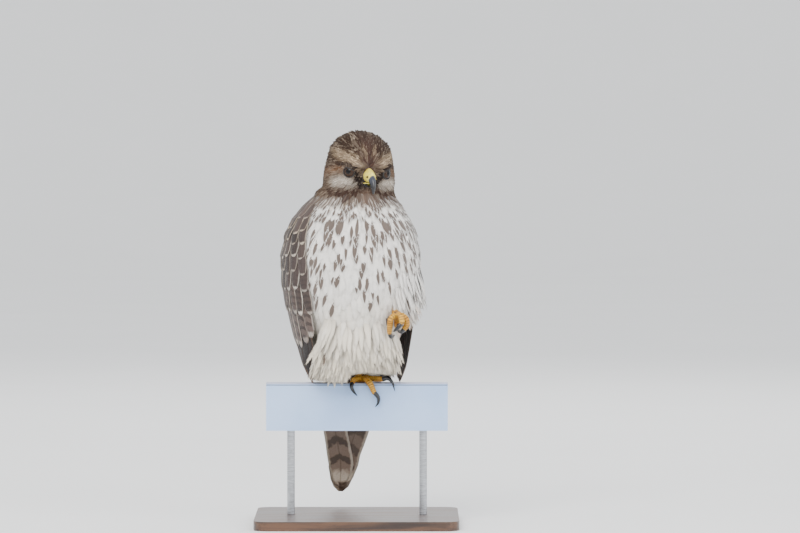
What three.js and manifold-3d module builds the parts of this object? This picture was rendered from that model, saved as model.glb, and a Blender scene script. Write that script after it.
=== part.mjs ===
// A red-tailed hawk in first-year plumage, life size, standing on one foot with the other drawn up.
// It grips a short cut length of a framed panel's top rail, held up by a plain display stand.
// Millimetres, +Z up, +X to the viewer's right, the bird faces -Y. The origin is under the stand's base.
import * as THREE from "three";
import { mergeVertices } from "three/addons/utils/BufferGeometryUtils.js";
import Module from "manifold-3d";

const wasm = await Module();
wasm.setup();

const gap = 0.34; // clearance between neighbouring pieces
const degree = Math.PI / 180;

// Stand and perch
const base = { width: 264, depth: 224, height: 12, corner: 18 };
const rail = { length: 236, depth: 26, height: 62, edge: 2.5, top: 184 };
const rod = { radius: 5, spread: 172 };

// Where the bird stands on the rail, and how its parts turn
const bodyYaw = 10 * degree;
const bodyShift = { x: -3, y: 2 };
const headPlace = { x: 6.5, y: -6, z: 281, yaw: 7 * degree, roll: 3 * degree };

// Outline of the body with its folded wings, at heights above the rail's top
const outline = [
  { z: -4, side: 62, front: 10, back: 78 },
  { z: 20, side: 71, front: 30, back: 82 },
  { z: 50, side: 78, front: 56, back: 87 },
  { z: 95, side: 90, front: 72, back: 88 },
  { z: 130, side: 96, front: 78, back: 85 },
  { z: 165, side: 97, front: 78, back: 80 },
  { z: 195, side: 91, front: 71, back: 71 },
  { z: 215, side: 81, front: 62, back: 62 },
  { z: 232, side: 67, front: 51, back: 51 },
  { z: 244, side: 54, front: 40, back: 42 },
];
// Outline of the torso's plumage under the wings, and of the neck
const trunk = [
  { z: 2, side: 38, front: -2, back: 62 },
  { z: 20, side: 49, front: 26, back: 72 },
  { z: 44, side: 55, front: 51, back: 76 },
  { z: 62, side: 62, front: 62, back: 77 },
  { z: 86, side: 76, front: 71, back: 76 },
  { z: 130, side: 84, front: 78, back: 73 },
  { z: 165, side: 85, front: 78, back: 68 },
  { z: 195, side: 80, front: 71, back: 60 },
  { z: 215, side: 72, front: 62, back: 52 },
  { z: 232, side: 62, front: 52, back: 46 },
  { z: 246, side: 53, front: 44, back: 43 },
  { z: 262, side: 47, front: 37, back: 40 },
];
// Outline of the head at heights from its middle
const skull = [
  { z: -40, side: 44, front: 35, back: 38 },
  { z: -24, side: 48, front: 40, back: 45 },
  { z: -6, side: 46.5, front: 42, back: 48 },
  { z: 8, side: 43.5, front: 43, back: 48 },
  { z: 20, side: 41, front: 39, back: 45 },
  { z: 31, side: 37, front: 32, back: 39 },
  { z: 46.6, side: 30, front: 22, back: 30 },
];
const eye = { radius: 9.4, side: 21.5, forward: 34.2, z: -7.4, lidWidth: 7.9, lidTube: 1.15 };
const bill = { base: 12.8, length: 24, drop: 21, width: 13, depth: 17, cereShare: 0.42 };

const colours = {
  crown: 0x4a3a30,
  breast: 0xe9e4da,
  wing: 0x42332b,
  tail: 0x5a4a3e,
  skin: 0xd9a62e,
  cere: 0xd8c13a,
  horn: 0x23262c,
  eye: 0x2a1a10,
  rail: 0xb9cdea,
  stand: 0x3b3a3a,
};
const finish = (colour, roughness = 0.8, metalness = 0) =>
  new THREE.MeshStandardMaterial({ color: colour, roughness, metalness });
const materials = {
  crown: finish(colours.crown),
  breast: finish(colours.breast),
  wing: finish(colours.wing, 0.7),
  tail: finish(colours.tail, 0.7),
  skin: finish(colours.skin, 0.55),
  cere: finish(colours.cere, 0.45),
  horn: finish(colours.horn, 0.3),
  eye: finish(colours.eye, 0.05),
  rail: finish(colours.rail, 0.45),
  steel: finish(colours.stand, 0.4, 0.6),
  board: finish(colours.stand, 0.6),
};

// Small helpers
const vec = (x, y, z) => new THREE.Vector3(x, y, z);
const mix = (a, b, t) => a + (b - a) * t;
const clamp = (x, low = 0, high = 1) => Math.min(high, Math.max(low, x));
const smooth = (t) => clamp(t) ** 2 * (3 - 2 * clamp(t));

// A repeatable draw from -1 to 1, for the small differences between feathers
let drawn = 7;
function vary() {
  drawn = (drawn * 16807) % 2147483647;
  return (drawn / 2147483647) * 2 - 1;
}

// Reads one column of a table of stations at a height, on a smooth curve through its rows
function at(table, key, z) {
  const last = table.length - 1;
  const held = clamp(z, table[0].z, table[last].z);
  const i = clamp(table.findIndex((row) => row.z > held) - 1, 0, last - 1) || 0;
  const k = held >= table[last].z ? last - 1 : i;
  const [a, b] = [table[k], table[k + 1]];
  const [before, after] = [table[Math.max(k - 1, 0)], table[Math.min(k + 2, last)]];
  const span = b.z - a.z;
  const startSlope = (b[key] - before[key]) / (b.z - before.z || 1);
  const endSlope = (after[key] - a[key]) / (after.z - a.z || 1);
  const t = (held - a.z) / span;
  return (
    a[key] * (1 + 2 * t) * (1 - t) ** 2 +
    startSlope * span * t * (1 - t) ** 2 +
    b[key] * t ** 2 * (3 - 2 * t) +
    endSlope * span * t ** 2 * (t - 1)
  );
}

// Solids

function solidOf(geometry) {
  const bare = new THREE.BufferGeometry();
  const source = geometry.index ? geometry.toNonIndexed() : geometry;
  bare.setAttribute("position", source.getAttribute("position").clone());
  const merged = mergeVertices(bare, 1e-4);
  const build = (order) =>
    new wasm.Manifold(
      new wasm.Mesh({
        numProp: 3,
        vertProperties: new Float32Array(merged.attributes.position.array),
        triVerts: order,
      }),
    );
  const order = new Uint32Array(merged.index.array);
  const made = build(order);
  return made.volume() > 0 ? made : build(order.reverse());
}

function geometryOf(solid) {
  const mesh = solid.getMesh();
  const geometry = new THREE.BufferGeometry();
  geometry.setAttribute("position", new THREE.BufferAttribute(mesh.vertProperties, 3));
  geometry.setIndex(new THREE.BufferAttribute(mesh.triVerts, 1));
  return geometry;
}

// The largest closed surface of a solid, without the scraps that a cut leaves
function largest(solid) {
  const bodies = solid.decompose();
  return bodies.reduce((best, body) => (body.volume() > best.volume() ? body : best));
}

const join = (solids) => wasm.Manifold.union(solids);
const cut = (solid, cutters) => cutters.reduce((rest, cutter) => rest.subtract(cutter), solid);

// A geometry made a little larger all round, to cut its neighbour with
function swell(geometry, by = gap) {
  const bare = new THREE.BufferGeometry();
  bare.setAttribute("position", geometry.toNonIndexed().getAttribute("position"));
  const merged = mergeVertices(bare, 1e-4);
  merged.computeVertexNormals();
  const { position, normal } = merged.attributes;
  for (let i = 0; i < position.count; i += 1)
    position.setXYZ(
      i,
      position.getX(i) + normal.getX(i) * by,
      position.getY(i) + normal.getY(i) * by,
      position.getZ(i) + normal.getZ(i) * by,
    );
  return merged;
}

// A closed geometry from rings of points, with a pole at each end
function loft(rings, firstPole, lastPole) {
  const sides = rings[0].length;
  const points = [firstPole, ...rings.flat(), lastPole];
  const faces = [];
  const spot = (ring, side) => 1 + ring * sides + (side % sides);
  for (let k = 0; k < sides; k += 1) {
    faces.push(0, spot(0, k + 1), spot(0, k));
    faces.push(points.length - 1, spot(rings.length - 1, k), spot(rings.length - 1, k + 1));
  }
  for (let r = 0; r + 1 < rings.length; r += 1)
    for (let k = 0; k < sides; k += 1) {
      faces.push(spot(r, k), spot(r, k + 1), spot(r + 1, k + 1));
      faces.push(spot(r, k), spot(r + 1, k + 1), spot(r + 1, k));
    }
  return facing(points, faces);
}

// A geometry from points and faces, turned so that its faces point out
function facing(points, faces) {
  let volume = 0;
  for (let i = 0; i < faces.length; i += 3) {
    const [a, b, c] = [points[faces[i]], points[faces[i + 1]], points[faces[i + 2]]];
    volume += a.dot(vec(0, 0, 0).crossVectors(b, c));
  }
  const geometry = new THREE.BufferGeometry();
  geometry.setFromPoints(points);
  geometry.setIndex(volume > 0 ? faces : [...faces].reverse());
  return geometry;
}

// A rounded body lofted up a table of stations. shape may move a point once it is placed.
function bodyForm(table, { sides, levels, lowCap, highCap, power = 2.15, shape = (p) => p }) {
  const low = table[0].z;
  const high = table[table.length - 1].z;
  const rings = [];
  for (let level = 1; level < levels; level += 1) {
    const t = level / levels;
    const z = low + (high - low) * (t - 0.07 * Math.sin(4 * Math.PI * t) - 0.03 * Math.sin(2 * Math.PI * t));
    const end = Math.min(
      Math.sqrt(1 - clamp(1 - (z - low) / lowCap) ** 2),
      Math.sqrt(1 - clamp(1 - (high - z) / highCap) ** 2),
    );
    const ring = [];
    for (let k = 0; k < sides; k += 1) {
      const angle = (2 * Math.PI * k) / sides;
      ring.push(shape(sectionPoint(table, z, angle, end, power)));
    }
    rings.push(ring);
  }
  const pole = (z) => shape(vec(0, sectionMiddle(table, z), z));
  return loft(rings, pole(low), pole(high));
}

const sectionMiddle = (table, z) => (at(table, "back", z) - at(table, "front", z)) / 2;

// A point of a section: angle 0 is the bird's left, 90 degrees its back
function sectionPoint(table, z, angle, scale, power) {
  const [side, front, back] = ["side", "front", "back"].map((key) => at(table, key, z));
  const round = (value) => Math.sign(value) * Math.abs(value) ** (2 / power);
  const middle = (back - front) / 2;
  const reach = (front + back) / 2;
  return vec(side * scale * round(Math.cos(angle)), middle + reach * scale * round(Math.sin(angle)), z);
}

// A tube along a few points, round or flattened, with rounded ends. up is the way its top faces.
function limb(points, { radii, sides, steps, up, flat = 1, ridge = 0 }) {
  const path = new THREE.CatmullRomCurve3(points, false, "centripetal");
  const ringAt = (t) => {
    const centre = path.getPoint(t);
    const along = path.getTangent(t);
    const across = vec(0, 0, 0).crossVectors(up, along).normalize();
    const top = vec(0, 0, 0).crossVectors(along, across);
    const place = t * (radii.length - 1);
    const k = Math.min(Math.floor(place), radii.length - 2);
    const radius = mix(radii[k], radii[k + 1], smooth(place - k));
    const step = ridge * (((t * steps) / 2) % 1);
    return Array.from({ length: sides }, (_, i) => {
      const angle = (2 * Math.PI * i) / sides;
      return centre
        .clone()
        .addScaledVector(across, Math.cos(angle) * radius)
        .addScaledVector(top, Math.sin(angle) * (radius * flat + (Math.sin(angle) > 0.5 ? step : 0)));
    });
  };
  const rings = Array.from({ length: steps + 1 }, (_, i) => ringAt(mix(0.02, 0.98, i / steps)));
  const reach = (t, way, radius) => path.getPoint(t).addScaledVector(path.getTangent(t), way * radius * 0.5);
  return loft(rings, reach(0, -1, radii[0]), reach(1, 1, radii[radii.length - 1]));
}

// A feather as a closed thin leaf. place(t, across, lift) puts a point on the surface it lies on.
// Both faces are split into triangles alike.
function vane(place, { width, thick, rootLift, tipLift, stops, blunt = 0.6, tilt = 0, crown = 0 }) {
  const columns = crown ? [-1, 0, 1] : [-1, 1];
  const outlineAt = (t) => {
    const shaft = mix(0.5, 1, smooth(t / 0.45));
    const end = t > blunt ? Math.sqrt(clamp(1 - ((t - blunt) / (1 - blunt)) ** 2)) : 1;
    return (width / 2) * shaft * end;
  };
  const points = stops.flatMap((t) =>
    [0, 1].flatMap((face) =>
      columns.map((column) => {
        const lift = mix(rootLift, tipLift, t) + tilt * column + (column === 0 ? crown : 0);
        return place(t, column * outlineAt(t), lift - thick * mix(1, 0.65, t) * face);
      }),
    ),
  );
  points.push(place(1, 0, tipLift + crown / 2 - thick / 3));
  const tip = points.length - 1;
  const across = columns.length;
  const edge = across - 1;
  const last = stops.length - 1;
  const spot = (row, face, column) => row * 2 * across + face * across + column;
  const faces = [];
  const quad = (a, b, c, d) => faces.push(a, b, c, a, c, d);
  for (let r = 0; r < last; r += 1) {
    for (let c = 0; c < edge; c += 1) {
      quad(spot(r, 0, c), spot(r + 1, 0, c), spot(r + 1, 0, c + 1), spot(r, 0, c + 1));
      faces.push(spot(r, 1, c), spot(r + 1, 1, c + 1), spot(r + 1, 1, c));
      faces.push(spot(r, 1, c), spot(r, 1, c + 1), spot(r + 1, 1, c + 1));
    }
    quad(spot(r, 0, 0), spot(r, 1, 0), spot(r + 1, 1, 0), spot(r + 1, 0, 0));
    quad(spot(r, 0, edge), spot(r + 1, 0, edge), spot(r + 1, 1, edge), spot(r, 1, edge));
  }
  for (let c = 0; c < edge; c += 1) {
    quad(spot(0, 0, c), spot(0, 0, c + 1), spot(0, 1, c + 1), spot(0, 1, c));
    faces.push(spot(last, 0, c), tip, spot(last, 0, c + 1));
    faces.push(spot(last, 1, c), spot(last, 1, c + 1), tip);
  }
  faces.push(spot(last, 0, 0), spot(last, 1, 0), tip);
  faces.push(spot(last, 0, edge), tip, spot(last, 1, edge));
  return facing(points, faces);
}

// Head

const headMatrix = new THREE.Matrix4()
  .makeTranslation(headPlace.x, headPlace.y, headPlace.z)
  .multiply(new THREE.Matrix4().makeRotationZ(headPlace.yaw))
  .multiply(new THREE.Matrix4().makeRotationY(headPlace.roll));

// Pushes and dents on the head: where, how wide, and how far along the outward way
const headForms = [
  { x: 21, y: -34, z: 3.5, wide: 9, push: 4.2 }, // brow over the eye
  { x: 31, y: -22, z: 3, wide: 9, push: 2.2 }, // brow's outer end
  { x: 22, y: -36, z: -8, wide: 9.5, push: -3.6 }, // eye's hollow
  { x: 11, y: -42, z: -7, wide: 8, push: -3.4 }, // lore
  { x: 30, y: -28, z: -22, wide: 12, push: 2.2 }, // cheek
];

function shapeHead(point) {
  const face = clamp(-point.y / 44) ** 2;
  const shaped = vec(point.x * (1 - 0.2 * face), point.y, point.z);
  const outward = vec(shaped.x, shaped.y, shaped.z * 0.3).normalize();
  for (const form of headForms)
    for (const side of [-1, 1]) {
      const distance = point.distanceTo(vec(form.x * side, form.y, form.z));
      shaped.addScaledVector(outward, form.push * Math.exp(-((distance / form.wide) ** 2)));
    }
  return shaped;
}

const headGeometry = bodyForm(skull, {
  sides: 28,
  levels: 15,
  lowCap: 12,
  highCap: 23,
  power: 2.05,
  shape: shapeHead,
});

const eyeCentre = (side) => vec(side * eye.side, -eye.forward + 3.6, eye.z);
const eyeGeometry = (side, grow = 0) =>
  new THREE.SphereGeometry(eye.radius + grow, 14, 9).translate(...eyeCentre(side).toArray());

// The ring of the lids lies round the way that the eye looks
function lidGeometry(side) {
  const ring = new THREE.TorusGeometry(eye.lidWidth, eye.lidTube, 5, 14);
  ring.scale(1, 0.92, 1);
  const look = eyeLook(side);
  const turn = new THREE.Matrix4().lookAt(look, vec(0, 0, 0), vec(0, 0, 1));
  ring.applyMatrix4(turn);
  return ring.translate(...eyeCentre(side).addScaledVector(look, eye.radius * 0.5).toArray());
}
const eyeLook = (side) => vec(side * 0.62, -0.78, 0.02).normalize();

// Bill: a hooked loft from the forehead, forward and down to the point
function billRing(t, grow = 0) {
  const sweep = smooth(t) * 0.35 + t * 0.65;
  const y = -40 - bill.length * Math.sin(sweep * 1.72) * 1.02;
  const z = -11 - bill.drop * (1 - Math.cos(sweep * 1.72)) * 0.98;
  const half = (bill.width / 2) * (1 - 0.86 * t ** 1.5) + grow;
  const up = (bill.depth / 2) * (1 - 0.88 * t ** 1.25) + grow;
  const lean = -sweep * 1.25;
  const ring = [];
  const sides = 12;
  for (let k = 0; k < sides; k += 1) {
    const angle = (2 * Math.PI * k) / sides;
    const rise = Math.sin(angle) * up;
    const pinch = Math.sin(angle) > 0 ? 1 - 0.3 * Math.sin(angle) : 1;
    ring.push(vec(Math.cos(angle) * half * pinch, y + rise * Math.sin(lean), z + rise * Math.cos(lean)));
  }
  return ring;
}

function billForm(from, to, steps, grow = 0) {
  const rings = Array.from({ length: steps + 1 }, (_, i) => billRing(mix(from, to, i / steps), grow));
  const centre = (ring) => ring.reduce((sum, p) => sum.add(p), vec(0, 0, 0)).divideScalar(ring.length);
  return loft(rings, centre(rings[0]), centre(rings[steps]));
}

function lowerBillForm() {
  const rings = Array.from({ length: 5 }, (_, i) => {
    const t = i / 4;
    const centre = vec(0, mix(-34, -57, t), mix(-22.5, -26, t));
    const half = mix(5.4, 2.2, t ** 1.4);
    const deep = mix(3.4, 1.3, t);
    return Array.from({ length: 8 }, (_, k) => {
      const angle = (2 * Math.PI * k) / 8;
      return centre.clone().add(vec(Math.cos(angle) * half, 0, Math.sin(angle) * deep));
    });
  });
  return loft(rings, vec(0, -33, -22.5), vec(0, -58.5, -25.8));
}

// The soft lip that runs back from the bill's corner under the eye
function gapeForm(side) {
  return limb([vec(side * 5.2, -50, -20.5), vec(side * 8.2, -43, -21), vec(side * 12.5, -36.5, -21.5)], {
    radii: [1.2, 1.6, 1.2],
    sides: 6,
    steps: 4,
    up: vec(0, 0, 1),
  });
}

const nostril = (side) =>
  new THREE.SphereGeometry(1, 8, 6).scale(1.6, 1.7, 1.1).translate(side * 6.1, -49.5, -13.6);

// Body

const trunkGeometry = bodyForm(trunk, { sides: 28, levels: 15, lowCap: 18, highCap: 10 });

const legForms = {
  right: limb([vec(-24, -20, 92), vec(-22, -22, 58), vec(-21, -10, 32), vec(-19, 4, 15)], {
    radii: [28, 31, 29, 19],
    sides: 16,
    steps: 8,
    up: vec(0, -1, 0),
    flat: 0.95,
  }),
  left: limb([vec(26, -24, 104), vec(25, -22, 64), vec(24, -6, 34), vec(22, 8, 15)], {
    radii: [28, 30, 28, 18],
    sides: 16,
    steps: 8,
    up: vec(0, -1, 0),
    flat: 0.9,
  }),
};

// Wings

// One wing's shape on the outline: how far round its two edges lie, and where it ends
const wings = {
  right: { sign: -1, front: [-27, -38, -40, -48, -24], tipShift: -3 },
  left: { sign: 1, front: [2, 6, 4, -8, -6], tipShift: 0 },
};
const wingBack = [58, 76, 84, 84, 62];
const wingTop = 234;
const wingLow = [2, 0, 4, 22, 46]; // the height of the feather tips, from the front edge to the back

function along(values, t) {
  const place = clamp(t) * (values.length - 1);
  const k = Math.min(Math.floor(place), values.length - 2);
  return mix(values[k], values[k + 1], place - k);
}

const wingAngle = (wing, u, v) => mix(along(wing.front, u), along(wingBack, u), v) * degree;
const wingHeight = (u, v) => mix(wingTop - 9 * (1 - v) ** 2, along(wingLow, v), u);

// A point on the outline's surface: lift is how far it stands outside
function wingPoint(wing, z, angle, lift) {
  const held = Math.max(z, outline[0].z);
  const side = at(outline, "side", held) + lift;
  const deep = at(outline, angle > 0 ? "back" : "front", held) + lift;
  const low = clamp((60 - z) / 60);
  return vec(wing.sign * (side * Math.cos(angle) + wing.tipShift * low), deep * Math.sin(angle), z);
}

// A vane on the wing between two places (u, v), each down and across the wing
function wingVane(wing, from, to, size) {
  const [start, end] = [from, to].map(([u, v]) => ({ z: wingHeight(u, v), angle: wingAngle(wing, u, v) }));
  const middle = (start.z + end.z) / 2;
  const radius = at(outline, "side", Math.max(middle, 0)) * 0.95;
  const run = (end.angle - start.angle) * radius;
  const drop = end.z - start.z;
  const length = Math.hypot(run, drop);
  const place = (t, across, lift) =>
    wingPoint(
      wing,
      mix(start.z, end.z, t) + (across * run) / length,
      mix(start.angle, end.angle, t) - (across * drop) / length / radius,
      lift,
    );
  return vane(place, size);
}

// The flight feathers of a folded wing, from the lowest layer to the top one.
// u runs down the wing and v from its front edge to its back.
const wingRows = [
  { name: "primaries", count: 6, u: [0.45, 0.985], v: [0.1, 0.34], end: [0.1, 0.46], width: 15, root: -7.4, tip: -4.4, tilt: 1.3 },
  { name: "secondaries", count: 7, u: [0.43, 0.8], v: [0.12, 0.86], end: [0.14, 0.9], width: 25, root: -6.6, tip: -1.8, tilt: 0.85 },
  { name: "tertials", count: 2, u: [0.41, 0.92], v: [0.8, 0.94], end: [0.78, 0.94], width: 26, root: -5.2, tip: -0.6, tilt: 0.85 },
];
// The coverts and scapulars over them: how far down the wing each row's tips lie
const covert = { tips: [0.1, 0.21, 0.33, 0.46, 0.59], across: 7, notch: 0.03, step: 1.8 };

function flightFeathers(wing) {
  return wingRows.flatMap((row) =>
    Array.from({ length: row.count }, (_, i) => {
      const k = i / (row.count - 1);
      const from = [row.u[0], mix(row.v[0], row.v[1], k)];
      const to = [row.u[1] + 0.012 * vary(), mix(row.end[0], row.end[1], k) + 0.006 * vary()];
      const size = { width: row.width * (1 + 0.05 * vary()), thick: 0.8, tilt: row.tilt, crown: 0.5 };
      const lifts = { rootLift: row.root, tipLift: row.tip };
      return solidOf(wingVane(wing, from, to, { ...size, ...lifts, stops: [0, 0.5, 0.84] }));
    }),
  );
}

// The arm and its coverts as one shell: outside in rows of rounded tips, each a step above the next,
// inside on the torso down to the last row, where it thins to an edge over the flight feathers
function wingShell(wing) {
  const columns = covert.across * 3;
  const tipAt = (row, column) => {
    const part = (column + (row % 2 ? 1.5 : 0)) % 3;
    const round = [0, 0.92, 0.92][Math.floor(part)] ?? 0;
    return covert.tips[row] - covert.notch * (1 - (part % 1 ? 0.75 : round));
  };
  const outer = (u, v, lift) => {
    const edge = Math.min(1, 7 * Math.min(v, 1 - v));
    return wingPoint(wing, wingHeight(u, v), wingAngle(wing, u, v), lift - (1 - edge) * 3);
  };
  const rows = [];
  const rowOf = (uAt, lift) =>
    Array.from({ length: columns + 1 }, (_, column) => outer(uAt(column), column / columns, lift));
  rows.push(rowOf(() => 0.005, -5));
  covert.tips.forEach((_, row) => {
    if (row) rows.push(rowOf((column) => tipAt(row - 1, column) + 0.003, -covert.step));
    rows.push(rowOf((column) => mix(row ? tipAt(row - 1, column) : 0, tipAt(row, column), 0.6), -0.5));
    rows.push(rowOf((column) => tipAt(row, column), 0));
  });
  const inner = (u, v) => {
    const angle = wingAngle(wing, u, v);
    const place = sectionPoint(trunk, wingHeight(u, v), angle, 1, 2.15);
    const near = vec(wing.sign * place.x, place.y, place.z);
    near.add(vec(wing.sign * Math.cos(angle), Math.sin(angle), 0).multiplyScalar(2.3));
    const deepest = outer(u, v, -5);
    return Math.hypot(near.x, near.y) < Math.hypot(deepest.x, deepest.y) ? near : deepest;
  };
  const under = [0.005, 0.18, 0.34, 0.48].map((u) =>
    Array.from({ length: 9 }, (_, column) => inner(u, column / 8)),
  );
  under.push(Array.from({ length: 9 }, (_, column) => outer(covert.tips.at(-1) - 0.045, column / 8, -2.4)));
  return shell(rows, under);
}

// A closed geometry between two grids of points that share no count of rows or columns
function shell(top, under) {
  const points = [...top.flat(), ...under.flat()];
  const faces = [];
  const [wide, narrow] = [top[0].length, under[0].length];
  const onTop = (row, column) => row * wide + column;
  const below = (row, column) => top.length * wide + row * narrow + column;
  const cover = (spot, rows, columns, turned) => {
    for (let r = 0; r + 1 < rows; r += 1)
      for (let c = 0; c + 1 < columns; c += 1) {
        const [a, b, d, e] = [spot(r, c), spot(r, c + 1), spot(r + 1, c + 1), spot(r + 1, c)];
        faces.push(...(turned ? [a, d, b, a, e, d] : [a, b, d, a, d, e]));
      }
  };
  cover(onTop, top.length, wide, false);
  cover(below, under.length, narrow, true);
  const line = (spot, count) => Array.from({ length: count }, (_, i) => spot(i));
  const rims = [
    [line((c) => onTop(0, c), wide), line((c) => below(0, c), narrow), true],
    [line((c) => onTop(top.length - 1, c), wide), line((c) => below(under.length - 1, c), narrow), false],
    [line((r) => onTop(r, 0), top.length), line((r) => below(r, 0), under.length), false],
    [line((r) => onTop(r, wide - 1), top.length), line((r) => below(r, narrow - 1), under.length), true],
  ];
  for (const [a, b, turned] of rims) {
    let [i, j] = [0, 0];
    while (i + 1 < a.length || j + 1 < b.length) {
      const nextTop = j + 1 >= b.length || (i + 1 < a.length && (i + 1) / (a.length - 1) <= (j + 1) / (b.length - 1));
      const face = nextTop ? [a[i], a[i + 1], b[j]] : [a[i], b[j + 1], b[j]];
      faces.push(...(turned ? face.reverse() : face));
      if (nextTop) i += 1;
      else j += 1;
    }
  }
  return solidOf(facing(points, faces));
}

// Tail

const tail = { root: vec(4, 61, 34), tip: vec(-2, 99, -152), width: 34, spread: 20, pairs: 6 };

function tailVanes() {
  const down = tail.tip.clone().sub(tail.root);
  const length = down.length();
  down.normalize();
  const across = vec(1, 0, 0).addScaledVector(down, -down.x).normalize();
  const outward = vec(0, 0, 0).crossVectors(across, down).normalize();
  if (outward.y < 0) outward.negate();
  const feathers = [];
  for (let pair = 0; pair < tail.pairs; pair += 1)
    for (const side of [-1, 1]) {
      const spread = (side * (pair + 0.4)) / tail.pairs;
      const reach = length - pair * 2.4 - 2 * Math.abs(vary());
      const layer = 4.2 - pair * 1.7 + (side > 0 ? 0.85 : 0);
      const place = (t, offset, lift) => {
        const aside = spread * mix(tail.spread, 3, smooth((t - 0.42) / 0.5)) + offset;
        return tail.root
          .clone()
          .addScaledVector(down, t * reach)
          .addScaledVector(across, aside)
          .addScaledVector(outward, lift + layer - 0.003 * aside ** 2);
      };
      const size = { width: tail.width, thick: 0.6, rootLift: 0, tipLift: 0 };
      feathers.push(solidOf(vane(place, { ...size, stops: [0, 0.5, 0.74, 0.95], blunt: 0.86 })));
    }
  return feathers;
}

const tailCore = limb([vec(3, 50, 44), vec(4, 60, 22), vec(4, 67, -6), vec(3, 72, -34)], {
  radii: [20, 26, 24, 9],
  sides: 12,
  steps: 5,
  up: vec(0, 1, 0),
  flat: 0.5,
});

// Feet

// A toe and its claw along points chosen on the perch or in the fist
const toe = { radius: 3.9, tip: 3.1, claw: 2.7 };

function toeForm(points, up, scale = 1) {
  return limb(points, {
    radii: [toe.radius * scale, toe.radius * 0.92 * scale, toe.radius * 1.02 * scale, toe.tip * scale],
    sides: 8,
    steps: 6,
    up,
    ridge: 0.7,
  });
}

function clawForm(points, up, scale = 1) {
  const size = toe.claw * scale;
  return limb(points, { radii: [size, size * 0.9, size * 0.62, 0.35], sides: 6, steps: 6, up, flat: 1.15 });
}

// The standing foot, in the rail's own frame: x along the rail, z from its top
const standing = {
  pad: vec(9, 1, 6.2),
  toes: [
    { name: "hallux", up: vec(0, 0.5, 1), scale: 1, path: [vec(8, 5, 5.2), vec(5, 12, 5), vec(3.5, 17.6, 1), vec(3.2, 18.4, -7)], claw: [vec(3.2, 18.6, -7), vec(3.2, 20.5, -14), vec(3.4, 19.5, -22), vec(3.8, 15.5, -28)] },
    { name: "inner", up: vec(0, -0.3, 1), scale: 1, path: [vec(12, -1, 5.6), vec(20, -5, 5), vec(28, -9, 5), vec(34, -12, 5)], claw: [vec(33.5, -12, 5), vec(40, -15.5, 6.5), vec(46, -18, 1), vec(49, -18, -10)] },
    { name: "middle", up: vec(0, -1, 0.7), scale: 1.02, path: [vec(10, -5, 5.6), vec(13, -13, 4.8), vec(17.5, -18, -1.5), vec(23, -18, -13)], claw: [vec(22.5, -18, -12), vec(27.5, -19.5, -18), vec(27.6, -18.5, -25), vec(23.9, -16, -31)] },
    { name: "outer", up: vec(0, -0.6, 1), scale: 0.95, path: [vec(6, -3, 5.4), vec(0, -8, 4.8), vec(-4, -13, 4.2), vec(-6.4, -17.4, 0)], claw: [vec(-6, -17, 0.5), vec(-7, -20, -5), vec(-4, -19.5, -11), vec(0.4, -16.4, -16.4)] },
  ],
};

// The drawn-up foot, in the bird's frame: toes curled into a fist
const raised = {
  pad: vec(44, -72, 90),
  toes: [
    { name: "outer", up: vec(0, -1, 0.6), scale: 1, path: [vec(48, -74, 91), vec(54, -77, 86), vec(55.5, -75, 78), vec(52, -72, 72)], claw: [vec(52.6, -72.4, 72.6), vec(48.5, -73, 69), vec(45, -72, 70.5), vec(43, -70.6, 73.5)] },
    { name: "middle", up: vec(0, -1, 0.8), scale: 1.02, path: [vec(44, -76, 92), vec(46, -83, 90), vec(47, -86, 84), vec(46.5, -85, 80.5)], claw: [vec(46.6, -85, 81), vec(43, -85.5, 76), vec(38.5, -84, 71.5), vec(36.5, -80.5, 69.6)] },
    { name: "inner", up: vec(-0.4, -1, 0.6), scale: 1, path: [vec(40, -74, 91), vec(34.5, -77, 86), vec(33.5, -75, 78), vec(33.5, -71, 67)], claw: [vec(33.5, -71.4, 68), vec(35.5, -68, 63), vec(39, -64.5, 62.5), vec(42, -62.5, 64.5)] },
    { name: "hallux", up: vec(0.4, 0.4, -1), scale: 0.95, path: [vec(43, -69, 86), vec(43.5, -68, 81), vec(43.5, -69.5, 77.5), vec(44.5, -73.5, 76.6)], claw: [vec(44.4, -73, 76.6), vec(45.2, -77, 77.5), vec(45.6, -80, 79.6), vec(45.2, -80.6, 82)] },
  ],
};

// Scene graph

const hawk = new THREE.Group();

function addTo(group, name, solid, material) {
  const mesh = new THREE.Mesh(geometryOf(largest(solid)), material);
  mesh.name = name;
  group.add(mesh);
}

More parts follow.
